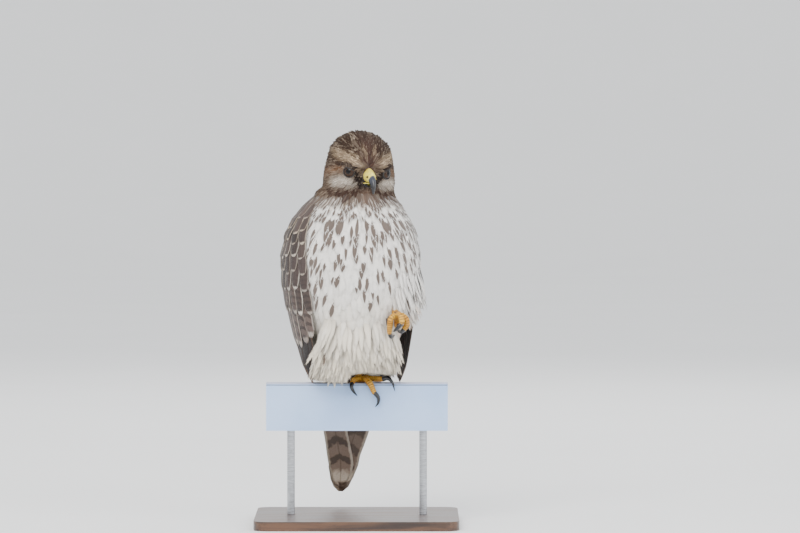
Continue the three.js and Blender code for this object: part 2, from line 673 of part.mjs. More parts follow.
function buildStand() {
  const corner = (x, y) => [x * (base.width / 2), y * (base.depth / 2)];
  const plan = new THREE.Shape();
  const [right, back] = corner(1, 1);
  plan.moveTo(-right + base.corner, -back);
  plan.absarc(right - base.corner, -back + base.corner, base.corner, -Math.PI / 2, 0);
  plan.absarc(right - base.corner, back - base.corner, base.corner, 0, Math.PI / 2);
  plan.absarc(-right + base.corner, back - base.corner, base.corner, Math.PI / 2, Math.PI);
  plan.absarc(-right + base.corner, -back + base.corner, base.corner, Math.PI, 1.5 * Math.PI);
  const plate = new THREE.ExtrudeGeometry(plan, { depth: base.height, bevelEnabled: false, curveSegments: 5 });
  addTo(hawk, "stand_base", solidOf(plate), materials.board);

  const section = new THREE.Shape();
  const [deep, high, edge] = [rail.depth / 2, rail.height, rail.edge];
  section.moveTo(-deep, -high);
  section.lineTo(deep, -high);
  section.lineTo(deep, -edge);
  section.absarc(deep - edge, -edge, edge, 0, Math.PI / 2);
  section.absarc(-deep + edge, -edge, edge, Math.PI / 2, Math.PI);
  const bar = new THREE.ExtrudeGeometry(section, { depth: rail.length, bevelEnabled: false, curveSegments: 4 });
  bar.rotateX(Math.PI / 2).rotateZ(Math.PI / 2).translate(-rail.length / 2, 0, rail.top);
  addTo(hawk, "perch_rail", solidOf(bar), materials.rail);

  const height = rail.top - rail.height - base.height - 2 * gap;
  for (const side of [-1, 1]) {
    const post = new THREE.CylinderGeometry(rod.radius, rod.radius, height, 16);
    post.rotateX(Math.PI / 2);
    post.translate((side * rod.spread) / 2, 0, base.height + gap + height / 2);
    addTo(hawk, side < 0 ? "stand_rod_right" : "stand_rod_left", solidOf(post), materials.steel);
  }
}

const padForm = (foot) =>
  new THREE.SphereGeometry(1, 12, 8).scale(6.4, 6.8, 5.6).translate(...foot.pad.toArray());

function buildFoot(group, foot, side, roots) {
  const pad = padForm(foot);
  const padCutter = solidOf(swell(pad));
  const above = roots.map((root) => solidOf(swell(root)));
  addTo(group, `foot_${side}`, cut(solidOf(pad), above), materials.skin);
  const placed = [padCutter, ...above];
  for (const digit of foot.toes) {
    const shape = toeForm(digit.path, digit.up, digit.scale);
    const talon = clawForm(digit.claw, digit.up, digit.scale);
    addTo(group, `toe_${side}_${digit.name}`, cut(solidOf(shape), placed), materials.skin);
    placed.push(solidOf(swell(shape)));
    addTo(group, `claw_${side}_${digit.name}`, cut(solidOf(talon), placed), materials.horn);
    placed.push(solidOf(swell(talon)));
  }
}

function buildHead(bird) {
  const toBody = (geometry) => geometry.clone().applyMatrix4(headMatrix);
  const headShape = toBody(headGeometry);
  const headCutter = solidOf(swell(headShape));
  const eyes = [-1, 1].map((side) => solidOf(toBody(eyeGeometry(side, gap))));
  const lids = [-1, 1].map((side) => solidOf(toBody(lidGeometry(side))));
  const gapes = [-1, 1].map((side) => solidOf(toBody(gapeForm(side))));
  const cutGapes = [-1, 1].map((side) => solidOf(toBody(swell(gapeForm(side)))));
  const head = join([solidOf(headShape), ...lids]);
  addTo(bird, "head", cut(head, [...eyes, ...cutGapes]), materials.crown);
  [-1, 1].forEach((side) => {
    const name = side < 0 ? "eye_right" : "eye_left";
    addTo(bird, name, solidOf(toBody(eyeGeometry(side))), materials.eye);
  });

  const upperCutter = solidOf(toBody(swell(billForm(0, 1, 14))));
  const pits = [-1, 1].map((side) => solidOf(toBody(nostril(side))));
  const cere = join([solidOf(toBody(billForm(0, bill.cereShare, 5, 0.35))), ...gapes]);
  const lower = solidOf(toBody(lowerBillForm()));
  const lowerCutter = solidOf(toBody(swell(lowerBillForm())));
  const headSolid = solidOf(swell(headShape));
  const cereGrown = solidOf(toBody(swell(billForm(0, bill.cereShare, 5, 0.35))));
  addTo(bird, "cere", largest(cut(cere, [headSolid, ...pits, lowerCutter])), materials.cere);
  addTo(bird, "bill_upper", cut(solidOf(toBody(billForm(bill.cereShare - 0.1, 1, 9))), [cereGrown]), materials.horn);
  addTo(bird, "bill_lower", cut(lower, [headCutter, upperCutter, cereGrown, ...cutGapes]), materials.horn);
  return headCutter;
}

function buildBird() {
  const bird = new THREE.Group();
  bird.position.set(bodyShift.x, bodyShift.y, rail.top);
  bird.rotation.z = bodyYaw;
  hawk.add(bird);
  const headCutter = buildHead(bird);
  const trunkCutter = solidOf(swell(trunkGeometry));
  const legCutters = Object.values(legForms).map((form) => solidOf(swell(form)));
  const grip = standing.toes.map((digit) => toeForm(digit.path, digit.up, digit.scale));
  grip.push(padForm(standing));
  const gripCutters = grip.map((form) =>
    solidOf(swell(form.translate(-bodyShift.x, -bodyShift.y, 0).rotateZ(-bodyYaw))),
  );
  addTo(bird, "torso", cut(solidOf(trunkGeometry), [headCutter, ...gripCutters]), materials.breast);
  const clear = [trunkCutter, ...gripCutters];
  addTo(bird, "thigh_right", cut(solidOf(legForms.right), clear), materials.breast);
  addTo(bird, "thigh_left", cut(solidOf(legForms.left), [...clear, legCutters[0]]), materials.breast);

  const tailSolid = join([solidOf(tailCore), ...tailVanes()]);
  addTo(bird, "tail", cut(tailSolid, [trunkCutter]), materials.tail);

  for (const [side, wing] of Object.entries(wings)) {
    const whole = join([wingShell(wing), ...flightFeathers(wing)]);
    addTo(bird, `wing_${side}`, cut(whole, [trunkCutter]), materials.wing);
  }

  const shank = limb([vec(-9, 2, 30), vec(0, -1, 17), vec(9, -2, 6)], {
    radii: [5.4, 5.2, 5.6],
    sides: 10,
    steps: 5,
    up: vec(0, -1, 0),
  });
  const shankLeft = limb([vec(43, -48, 96), vec(43.5, -62, 93), vec(44, -71, 90)], {
    radii: [5.4, 5.2, 5.4],
    sides: 10,
    steps: 5,
    up: vec(0, 0, 1),
  });
  addTo(bird, "shank_left", cut(solidOf(shankLeft), [trunkCutter, ...legCutters]), materials.skin);
  buildFoot(bird, raised, "left", [shankLeft]);
  addTo(bird, "shank_right", cut(solidOf(shank), [trunkCutter, ...legCutters]), materials.skin);

  const feet = new THREE.Group();
  feet.position.set(0, 0, rail.top);
  hawk.add(feet);
  const shankInRail = shank.clone().rotateZ(bodyYaw).translate(bodyShift.x, bodyShift.y, 0);
  buildFoot(feet, standing, "right", [shankInRail]);
}

buildStand();
buildBird();

export default hawk;
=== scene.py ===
import math
import bmesh
import bpy
import numpy as np
from mathutils import Matrix, Vector
from mathutils.bvhtree import BVHTree


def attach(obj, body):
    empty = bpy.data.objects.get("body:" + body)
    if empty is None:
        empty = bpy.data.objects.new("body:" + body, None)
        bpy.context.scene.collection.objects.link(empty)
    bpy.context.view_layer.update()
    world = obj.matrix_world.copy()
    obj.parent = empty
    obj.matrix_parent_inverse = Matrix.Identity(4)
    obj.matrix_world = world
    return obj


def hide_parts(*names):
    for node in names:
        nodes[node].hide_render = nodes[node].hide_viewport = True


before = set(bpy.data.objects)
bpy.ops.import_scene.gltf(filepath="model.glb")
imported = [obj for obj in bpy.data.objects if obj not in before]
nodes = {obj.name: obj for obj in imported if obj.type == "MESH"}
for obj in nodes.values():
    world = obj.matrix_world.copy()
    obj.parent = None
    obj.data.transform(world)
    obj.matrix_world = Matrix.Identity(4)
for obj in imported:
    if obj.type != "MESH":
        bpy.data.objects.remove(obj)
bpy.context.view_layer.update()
bpy.ops.object.select_all(action="DESELECT")
print("frame loaded:", len(nodes), "nodes")

# Lengths below are millimetres in the bird's own frame, with its origin on the rail's top
birdPlace = {"x": -3.0, "y": 2.0, "railTop": 184.0, "yaw": 10.0}
headPlace = {"x": 6.5, "y": -6.0, "z": 281.0, "yaw": 7.0, "roll": 3.0}


def turned(axis, degrees):
    return Matrix.Rotation(math.radians(degrees), 4, axis)


birdMatrix = (
    Matrix.Translation((birdPlace["x"], birdPlace["y"], birdPlace["railTop"]))
    @ turned("Z", birdPlace["yaw"])
)
headMatrix = (
    Matrix.Translation((headPlace["x"], headPlace["y"], headPlace["z"]))
    @ turned("Z", headPlace["yaw"])
    @ turned("Y", headPlace["roll"])
)
railMatrix = Matrix.Translation((0, 0, birdPlace["railTop"]))


def moved(points, matrix):
    m = np.array(matrix)
    return points @ m[:3, :3].T + m[:3, 3]


def toWorld(points):  # bird's millimetres to metres in the scene
    return moved(points, birdMatrix) / 1000


def toBird(points):  # metres in the scene to the bird's millimetres
    return moved(np.asarray(points) * 1000, birdMatrix.inverted())


def toHead(points):  # bird's frame to the head's
    return moved(points, headMatrix.inverted())


def smoothStep(low, high, x):
    t = np.clip((x - low) / (high - low), 0, 1)
    return t * t * (3 - 2 * t)


def bump(x, width):
    return np.exp(-((x / width) ** 2))


def unit(v):
    return v / np.maximum(np.linalg.norm(v, axis=-1, keepdims=True), 1e-9)


def tone(red, green, blue):  # a colour as a screen shows it, made linear
    c = np.array([red, green, blue]) / 255
    return np.where(c <= 0.04045, c / 12.92, ((c + 0.055) / 1.055) ** 2.4)


def makeMesh(name, points, faces, uvMaps=None, tints=None, smooth=True, normals=None):
    mesh = bpy.data.meshes.new(name)
    faces = np.asarray(faces, np.int32)
    mesh.vertices.add(len(points))
    mesh.vertices.foreach_set("co", np.asarray(points, np.float32).ravel())
    mesh.loops.add(faces.size)
    mesh.loops.foreach_set("vertex_index", faces.ravel())
    mesh.polygons.add(len(faces))
    size = faces.shape[1]
    mesh.polygons.foreach_set("loop_start", np.arange(0, faces.size, size, dtype=np.int32))
    mesh.polygons.foreach_set("loop_total", np.full(len(faces), size, np.int32))
    mesh.polygons.foreach_set("use_smooth", np.full(len(faces), smooth))
    for mapName, places in (uvMaps or {}).items():
        layer = mesh.uv_layers.new(name=mapName)
        layer.data.foreach_set("uv", np.asarray(places, np.float32)[faces.ravel()].ravel())
    if uvMaps:
        mesh.uv_layers.active_index = 0
        mesh.uv_layers[0].active_render = True
    mesh.update(calc_edges=True)
    mesh.validate(clean_customdata=False)
    if normals is not None:
        mesh.normals_split_custom_set_from_vertices(np.asarray(normals, np.float32))
    piece = bpy.data.objects.new(name, mesh)
    bpy.context.collection.objects.link(piece)
    for tintName, values in (tints or {}).items():
        paintPoints(piece, tintName, values)
    return piece


def cells(spot):  # two triangles for each cell of a grid of point numbers
    a, b, c, d = spot[:-1, :-1], spot[:-1, 1:], spot[1:, 1:], spot[1:, :-1]
    return np.vstack([np.stack(corners, -1).reshape(-1, 3) for corners in ((a, b, c), (a, c, d))])


def wrapped(spot):  # a grid of point numbers whose rows close on themselves
    return np.column_stack([spot, spot[:, 0]])


def outwardFaces(points, faces):  # wound so that a closed form's faces look outward
    p = (points - points.mean(0))[faces]
    volume = np.einsum("ij,ij->i", p[:, 0], np.cross(p[:, 1], p[:, 2])).sum()
    return faces if volume > 0 else faces[:, ::-1]


def headMesh(name, points, faces, *details):
    return makeMesh(name, toWorld(moved(points, headMatrix)), faces, *details)


def settle(piece, material, slotName, *replaced):
    piece.data.materials.clear()
    piece.data.materials.append(material)
    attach(piece, "root")
    if replaced:
        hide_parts(*replaced)


def closedSkin(piece, voxel, rounds):  # one closed surface round all the parts, softened
    remesh = piece.modifiers.new("remesh", "REMESH")
    remesh.mode, remesh.voxel_size, remesh.adaptivity = "VOXEL", voxel, 0
    soften = piece.modifiers.new("soften", "SMOOTH")
    soften.factor, soften.iterations = 0.5, rounds
    bpy.ops.object.select_all(action="DESELECT")
    bpy.context.view_layer.objects.active = piece
    piece.select_set(True)
    for modifier in list(piece.modifiers):
        bpy.ops.object.modifier_apply(modifier=modifier.name)
    piece.select_set(False)
    return meshArrays(piece.data)


def setPoints(piece, points):
    mesh = piece.data
    mesh.vertices.foreach_set("co", points.astype(np.float32).ravel())
    mesh.polygons.foreach_set("use_smooth", np.full(len(mesh.polygons), True))
    mesh.update()


def paintPoints(piece, name, values):
    layer = piece.data.attributes.new(name, "FLOAT_COLOR", "POINT")
    layer.data.foreach_set("color", np.asarray(values, np.float32).ravel())


def pathPoints(points, count):  # a smooth curve through a few points
    p = np.asarray(points, float)
    p = np.vstack([2 * p[0] - p[1], p, 2 * p[-1] - p[-2]])
    spans = len(p) - 3
    s = np.linspace(0, spans, count)
    k = np.minimum(s.astype(int), spans - 1)
    t = (s - k)[:, None]
    a, b, c, d = p[k], p[k + 1], p[k + 2], p[k + 3]
    return 0.5 * (2 * b + (c - a) * t + (2 * a - 5 * b + 4 * c - d) * t**2 + (3 * b - 3 * c + d - a) * t**3)


def pathFrame(points, count, up):  # a smooth curve with its directions along, across and to its top
    centre = pathPoints(points, count)
    along = unit(np.gradient(centre, axis=0))
    across = unit(np.cross(np.asarray(up, float)[None], along))
    return centre, along, across, np.cross(along, across)


def tube(points, radii, sides, steps, up, flat=1.0):
    centre, along, across, top = pathFrame(points, steps, up)
    radius = np.interp(np.linspace(0, 1, steps), np.linspace(0, 1, len(radii)), radii)
    angle = np.linspace(0, 2 * np.pi, sides, endpoint=False)
    r = radius[:, None] * np.ones(sides)
    rings = (
        centre[:, None]
        + across[:, None] * (np.cos(angle) * r)[..., None]
        + top[:, None] * (np.sin(angle) * r * flat)[..., None]
    )
    ends = [centre[0] - along[0] * radius[0] * 0.6, centre[-1] + along[-1] * radius[-1] * 0.6]
    return loftRings(rings, *ends)


def ball(middle, radii, sides, rows, reach):
    angle, tilt = np.meshgrid(np.linspace(0, 2 * np.pi, sides, endpoint=False), np.linspace(-reach, reach, rows))
    rings = np.stack([np.cos(tilt) * np.cos(angle), np.cos(tilt) * np.sin(angle), np.sin(tilt)], -1) * radii + middle
    return loftRings(rings, middle - (0, 0, radii[2]), middle + (0, 0, radii[2]))


def loftRings(rings, firstPole, lastPole):
    count, sides = rings.shape[:2]
    points = np.vstack([rings.reshape(-1, 3), firstPole, lastPole])
    spot = wrapped(np.arange(count * sides).reshape(count, sides))
    first, last = np.full((2, sides), [[len(points) - 2], [len(points) - 1]])
    caps = [np.stack([first, spot[0, 1:], spot[0, :-1]], -1), np.stack([last, spot[-1, :-1], spot[-1, 1:]], -1)]
    return points, outwardFaces(points, np.vstack([cells(spot), *caps]))


def joined(parts):
    starts = np.cumsum([0] + [len(p) for p, _ in parts])
    return np.vstack([p for p, _ in parts]), np.vstack([f + start for (_, f), start in zip(parts, starts)])


def nodeMesh(name):  # a CAD node's points (bird's millimetres) and triangles, merged
    work = bmesh.new()
    work.from_mesh(nodes[name].data)
    bmesh.ops.remove_doubles(work, verts=work.verts, dist=1e-6)
    bmesh.ops.triangulate(work, faces=work.faces)
    work.verts.index_update()
    points = np.array([v.co for v in work.verts])
    faces = np.array([[v.index for v in f.verts] for f in work.faces])
    work.free()
    return toBird(points), faces


def meshArrays(mesh):
    mesh.calc_loop_triangles()
    points, normals = np.empty((2, len(mesh.vertices), 3), np.float32)
    faces = np.empty((len(mesh.loop_triangles), 3), np.int32)
    mesh.vertices.foreach_get("co", points.reshape(-1))
    mesh.vertices.foreach_get("normal", normals.reshape(-1))
    mesh.loop_triangles.foreach_get("vertices", faces.reshape(-1))
    return points.astype(float), faces, normals.astype(float)


class Net:  # the nodes of one material, or of a group
    def __init__(self, name=None, group=None):
        if group is not None:
            self.tree = group
            return
        self.material = bpy.data.materials.new(name)
        self.material.use_nodes = True
        self.tree = self.material.node_tree
        self.tree.nodes.clear()
        self.shader = self.put("BsdfPrincipled")
        self.put("OutputMaterial", {0: self.shader.outputs[0]})

    def put(self, kind, inputs=None, **settings):
        node = self.tree.nodes.new("ShaderNode" + kind)
        for key, value in settings.items():
            setattr(node, key, value)
        for key, value in (inputs or {}).items():
            self.feed(node.inputs[key], value)
        return node

    def feed(self, socket, value):
        if isinstance(value, bpy.types.NodeSocket):
            self.tree.links.new(value, socket)
        else:
            socket.default_value = value

    def maths(self, operation, a, b=0.0, c=0.5):
        return self.put("Math", {0: a, 1: b, 2: c}, operation=operation).outputs[0]

    def times(self, a, b):
        return self.maths("MULTIPLY", a, b)

    def plus(self, a, b):
        return self.maths("ADD", a, b)

    def minus(self, a, b):
        return self.maths("SUBTRACT", a, b)

    def blend(self, factor, a, b, mode="MIX"):  # colours are sockets, linear arrays, or tones from 0 to 255
        node = self.put("Mix", data_type="RGBA", blend_type=mode)
        self.feed(node.inputs["Factor"], factor)
        for socket, colour in ((node.inputs[6], a), (node.inputs[7], b)):
            if not isinstance(colour, bpy.types.NodeSocket):
                linear = colour if isinstance(colour, np.ndarray) else tone(*colour)
                colour = (*[float(part) for part in linear], 1.0)
            self.feed(socket, colour)
        return node.outputs[2]

    def ramp(self, x, low, high, toLow=0.0, toHigh=1.0):
        inputs = {"Value": x, "From Min": low, "From Max": high, "To Min": toLow, "To Max": toHigh}
        return self.put("MapRange", inputs, interpolation_type="SMOOTHSTEP").outputs["Result"]

    def shaded(self, colour, shade):
        grey = self.put("CombineColor", {0: shade, 1: shade, 2: shade}).outputs[0]
        return self.blend(1.0, colour, grey, "MULTIPLY")

    def noise(self, place, scale, detail=2.0, distortion=0.0):
        inputs = {"Vector": place, "Scale": scale, "Detail": detail, "Distortion": distortion}
        return self.put("TexNoise", inputs).outputs[0]

    def place(self, stretch=None):  # the object's own coordinates
        spot = self.put("TexCoord").outputs["Object"]
        return self.put("Mapping", {"Vector": spot, "Scale": stretch}).outputs[0] if stretch else spot

    def onMap(self, name):  # the two coordinates of a UV map
        return self.put("SeparateXYZ", {0: self.put("UVMap", uv_map=name).outputs[0]}).outputs[:2]

    def painted(self, name):  # colour and fourth value of a painted attribute
        node = self.put("Attribute", attribute_name=name)
        return node.outputs["Color"], node.outputs["Alpha"]

    def finish(self, colour, roughness, ridge=None, **more):  # ridge: its height, strength and depth in metres
        values = {"Base Color": colour, "Roughness": roughness, **more}
        if ridge:
            values["Normal"] = self.put("Bump", dict(zip(("Height", "Strength", "Distance"), ridge))).outputs[0]
        for name, value in values.items():
            self.feed(self.shader.inputs[name.replace("_", " ")], value)
        return self.material


outlineTable = np.array([  # height, side, front, back of the body with its wings
    [-4, 62, 10, 78], [20, 71, 30, 82], [50, 78, 56, 87], [95, 90, 72, 88], [130, 96, 78, 85],
    [165, 97, 78, 80], [195, 91, 71, 71], [215, 81, 62, 62], [232, 67, 51, 51], [244, 54, 40, 42],
], float)


def outlineAt(column, z):
    return np.interp(z, outlineTable[:, 0], outlineTable[:, column])


wingPlan = {
    "right": {"sign": -1, "front": [-27, -38, -40, -48, -24], "tipShift": -3},
    "left": {"sign": 1, "front": [16, 24, 25, 12, -8], "tipShift": 0},
}
wingFrames = {"right": dict(wingPlan["right"]), "left": {"sign": 1, "front": [2, 6, 4, -8, -6], "tipShift": 0}}
wingBack = [58, 76, 84, 84, 62]
wingTop = 234.0
wingLow = [2, 0, 4, 22, 46]


def wingSpot(plan, u, v):  # height and angle of a place on the folded wing
    steps = np.linspace(0, 1, 5)
    front, back = np.interp(u, steps, plan["front"]), np.interp(u, steps, wingBack)
    high = wingTop - 9 * (1 - v) ** 2
    return high + u * (np.interp(v, steps, wingLow) - high), np.radians(front + (back - front) * v)


def wingPoint(plan, z, angle, lift):
    held = np.maximum(z, outlineTable[0, 0])
    side = outlineAt(1, held) + lift
    deep = np.where(angle > 0, outlineAt(3, held), outlineAt(2, held)) + lift
    low = np.clip((60 - z) / 60, 0, 1)
    x = plan["sign"] * (side * np.cos(angle) + plan["tipShift"] * low)
    return np.stack([x, deep * np.sin(angle), z + 0 * angle], -1)


def wingBody(plan):
    count = 16
    u, v = np.meshgrid(np.linspace(0.0, 0.6, count), np.linspace(0.0, 1.0, count), indexing="ij")
    z, angle = wingSpot(plan, u, v)
    inset = 1.5 + 3 * (1 - np.minimum(1, 5 * np.minimum(v, 1 - v)))
    thick = np.interp(u, [0, 0.45, 0.6], [12, 10, 3])
    sheets = [wingPoint(plan, z, angle, -inset), wingPoint(plan, z, angle, -inset - thick)]
    points = np.vstack([sheet.reshape(-1, 3) for sheet in sheets])
    spot = np.arange(count * count).reshape(count, count)
    rim = np.concatenate([spot[0, :-1], spot[:-1, -1], spot[-1, :0:-1], spot[:0:-1, 0]])
    after, under = np.roll(rim, -1), spot.size
    wall = np.vstack([np.stack([rim, after + under, after], -1), np.stack([rim, rim + under, after + under], -1)])
    faces = np.vstack([cells(spot), cells(spot)[:, ::-1] + under, wall])
    return points, outwardFaces(points, faces)


def swollen(points, faces, by):
    p = points[faces]
    flat = np.cross(p[:, 1] - p[:, 0], p[:, 2] - p[:, 0])
    normals = np.zeros_like(points)
    for corner in range(3):
        np.add.at(normals, faces[:, corner], flat)
    return points + unit(normals) * by


browLine = [(9, -43.5, -0.5), (19, -41, 2.8), (30, -33, 4.0), (37, -22, 2.0)]


def eyeSpot(side):
    return np.array([side * 21.5, -30.6, -7.4])


def eyeLook(side):
    return unit(np.array([side * 0.62, -0.78, 0.02]))


eyePlan = {"radius": 9.4, "side": 48.0, "top": 20.0, "bottom": 44.0}  # mm, and how far the lids open in degrees


def lookFrame(side):
    look = eyeLook(side)
    right = unit(np.cross(np.array([0, 0, 1.0]), look)) * side
    return look, right, np.cross(look, right) * side


def lidAngle(azimuth):  # how far the opening reaches from the way of looking, in degrees; azimuth 0 points outward
    up, out = np.sin(azimuth), np.cos(azimuth)
    tilted = np.clip(up - 0.25 * out, -1, 1)
    return np.where(
        tilted > 0,
        eyePlan["side"] + (eyePlan["top"] - eyePlan["side"]) * tilted**1.2,
        eyePlan["side"] + (eyePlan["bottom"] - eyePlan["side"]) * np.abs(tilted) ** 1.5,
    )


def onEye(side, polar, azimuth, radius):
    look, right, up = lookFrame(side)
    a = np.radians(polar)[..., None]
    out = np.cos(azimuth)[..., None] * right + np.sin(azimuth)[..., None] * up
    return eyeSpot(side) + (look * np.cos(a) + out * np.sin(a)) * np.asarray(radius)[..., None]


def eyeReach(local, side):  # distance from the eye's middle, and degrees outside the lids' opening
    look, right, up = lookFrame(side)
    away = local - eyeSpot(side)
    distance = np.linalg.norm(away, axis=1)
    polar = np.degrees(np.arccos(np.clip(away @ look / np.maximum(distance, 1e-6), -1, 1)))
    return distance, polar - lidAngle(np.arctan2(away @ up, away @ right))


skinPlan = {  # voxel in metres, the rest in mm: how far the skin lies under the feathers
    "voxel": 0.0024, "smoothing": 7, "lastSmoothing": 4, "bodyCoat": 5.2, "headCoat": 2.6, "faceCoat": 1.2,
    "eyeCover": 10.9,
}


def buildSkin():
    parts = []
    for name in ("head", "torso", "thigh_right", "thigh_left"):
        points, faces = nodeMesh(name)
        parts.append((swollen(points, faces, 0.5), faces))
    parts += [wingBody(plan) for plan in wingFrames.values()]
    for side in (-1, 1):
        brow = tube([(side * x, y, z) for x, y, z in browLine], [1.8, 3.2, 3.6, 2.2], 14, 16, (0, 0, 1), flat=0.8)
        cover = ball(eyeSpot(side), [skinPlan["eyeCover"]] * 3, 28, 18, 1.5)
        parts += [(moved(points, headMatrix), faces) for points, faces in (brow, cover)]
    vent = [(3, 46, 50), (4, 56, 24), (4, 66, -4), (3, 74, -40)]
    parts.append(tube(vent, [26, 29, 25, 13], 20, 14, (0, 1, 0), flat=0.62))
    points, faces = joined(parts)
    skin = makeMesh("skin", toWorld(points), faces)
    points, faces, normals = closedSkin(skin, skinPlan["voxel"], skinPlan["smoothing"])
    place = toBird(points)
    local = toHead(place)
    onHead = smoothStep(236, 258, place[:, 2])
    face = smoothStep(-22, -40, local[:, 1]) * onHead
    coat = skinPlan["bodyCoat"] * (1 - onHead) + skinPlan["headCoat"] * onHead
    coat = coat * (1 - face) + skinPlan["faceCoat"] * face
    for side in (-1, 1):
        coat = coat * (1 - 0.9 * bump(np.linalg.norm(local - eyeSpot(side) - eyeLook(side) * 6, axis=1), 10))
    setPoints(skin, points - normals * coat[:, None] / 1000)
    closedSkin(skin, skinPlan["voxel"], skinPlan["lastSmoothing"])
    work = bmesh.new()
    work.from_mesh(skin.data)
    keepLargest(work)
    work.to_mesh(skin.data)
    work.free()
    local = toHead(toBird(meshArrays(skin.data)[0]))
    for side in (-1, 1):
        distance, outside = eyeReach(local, side)
        sunk = np.minimum(distance, 8.5 + 1.6 * smoothStep(3, 10, outside))
        open = (outside < 10) & (distance < 15)
        local[open] = eyeSpot(side) + (local[open] - eyeSpot(side)) * (sunk / distance)[open][:, None]
    setPoints(skin, toWorld(moved(local, headMatrix)))
    return skin


def keepLargest(work):
    left, islands = set(work.verts), []
    while left:
        seed = left.pop()
        island, edge = {seed}, [seed]
        while edge:
            v = edge.pop()
            near = {e.other_vert(v) for e in v.link_edges} & left
            left -= near
            island |= near
            edge += near
        islands.append(island)
    for island in sorted(islands, key=len)[:-1]:
        bmesh.ops.delete(work, geom=list(island), context="VERTS")


skin = buildSkin()
skinPoints, skinFaces, skinNormals = meshArrays(skin.data)
skinPoints = toBird(skinPoints)
birdTurn = np.array(birdMatrix)[:3, :3]
skinNormals = skinNormals @ birdTurn  # into the bird's frame
skinTree = BVHTree.FromPolygons(skinPoints.tolist(), skinFaces.tolist())
print("skin:", len(skinFaces), "triangles")


def onSkin(points):  # nearest place and smooth normal for each point
    found, normals = np.empty_like(points), np.empty_like(points)
    for i, p in enumerate(points):
        spot, _, index, _ = skinTree.find_nearest(Vector(p))
        found[i] = spot
        corners = skinPoints[skinFaces[index]]
        near = 1 / (np.linalg.norm(corners - found[i], axis=1) + 0.15)
        normals[i] = (skinNormals[skinFaces[index]] * near[:, None]).sum(0)
    return found, unit(normals)


def unwrapOf(points):  # the skin's own unwrap: round the body's upright axis, and up it
    local = toHead(points)
    onHead = smoothStep(238, 262, points[:, 2])
    round1 = np.arctan2(points[:, 0] - 2, -(points[:, 1] - 4))
    round2 = np.arctan2(local[:, 0], -local[:, 1])
    turn = round1 * (1 - onHead) + round2 * onHead
    cap = np.clip(np.hypot(local[:, 0], local[:, 1]) / 45, 0, 1)
    height = points[:, 2] + (1 - cap) * 26 * onHead
    return np.stack([turn / (2 * np.pi) * 0.96 + 0.5, 0.02 + 0.96 * (height + 60) / 420], -1)


plumage = {
    "white": tone(236, 232, 226), "cream": tone(228, 216, 194), "streak": tone(84, 68, 58),
    "crown": tone(98, 76, 60), "crownEdge": tone(196, 178, 156), "dark": tone(52, 38, 31),
    "buff": tone(205, 180, 148), "rust": tone(176, 124, 86),
    "face": tone(186, 168, 148), "mantle": tone(78, 57, 45), "mantleEdge": tone(168, 142, 116),
}
headPatches = [  # a line on one side of the head, its width, its colour and how strong it is; all are markings except the dark line over the eye, which is painted shade from the brow
    (((0, -46, 0), (1, -32, 26)), 8.5, tone(66, 49, 43), 1.2),
    (((15, -42, 4), (38, -24, 17)), 4.8, plumage["buff"] * 1.15, 0.85),
    (((3.5, -44, 8), (6.5, -36, 20)), 1.6, plumage["buff"], 0.5),
    (((16, -42, -20), (35, -28, -19)), 5.5, tone(214, 204, 190), 0.95),
    (((33, -27, -3), (46, -6, -8)), 5.0, plumage["rust"] * 0.5, 0.42),
    (((9, -44, -29), (38, -26, -32)), 7.6, tone(58, 43, 37), 1.15),
    (((0, -44, -32), (8, -40, -38)), 6.0, tone(92, 70, 58), 0.9),
    (((7, -46, -29), (12, -42, -36)), 1.8, tone(196, 178, 156), 0.8),
    (((7, -48, -22), (18, -43, -6)), 5.4, tone(16, 13, 14), 2.0),
    # painted shade: this dark line over the eye stands for the shadow cast by the brow
    (((16, -42, -3), (33, -31, 1.5)), 3.0, tone(32, 25, 24), 1.2),
]
rng = np.random.default_rng(20)


def toSegment(points, a, b):
    a, b = np.asarray(a, float), np.asarray(b, float)
    t = np.clip(((points - a) @ (b - a)) / ((b - a) @ (b - a)), 0, 1)
    return np.linalg.norm(points - a - t[:, None] * (b - a), axis=1)


def mixed(a, b, share):
    return a * (1 - share[:, None]) + b * share[:, None]


def headMarkingsAndBrowShade(local, random):
    x, y, z = local.T
    squeeze = np.array([1, 0.35, 1])
    folded = np.stack([np.abs(x), y, z], -1) * squeeze
    ray = np.arctan2(x, z + 14)
    far = np.linalg.norm(local - np.array([0, -46, -12]), axis=1)
    waves = np.sin(23 * ray + 1.6 * np.sin(0.11 * far + 1)) * np.sin(37 * ray + 0.09 * far)
    stripes = waves + 0.5 * np.sin(0.7 * far + 5 * ray)
    pale = smoothStep(0.15, 0.9, stripes + 0.5 * (random - 0.5))
    cover = np.maximum(smoothStep(-2, 7, z + 0.14 * (y + 30)), smoothStep(-4, 20, y))
    ground = np.repeat(plumage["face"][None] * 0.6, len(x), 0)
    ground = mixed(ground, plumage["crown"] * 0.55, 0.3 + 0.6 * random)
    ground = mixed(ground, plumage["crown"] * 0.2, cover)
    ground = mixed(ground, plumage["crownEdge"] * 0.9, cover * pale * 0.5)
    # these lines paint the head's markings, and the painted shade of the brow over each eye
    for ends, width, colour, strength in headPatches:
        near = bump(toSegment(folded, *(np.array(ends) * squeeze)), width)
        ground = mixed(ground, colour, np.clip(near * strength * (0.4 + 0.9 * random), 0, 1))
    edge = mixed(np.clip(ground * 1.35, 0, 0.8), plumage["crownEdge"], (0.05 + 0.45 * random**2) * cover)
    return ground, edge, 0.2 + 0.6 * cover + 0.25 * random


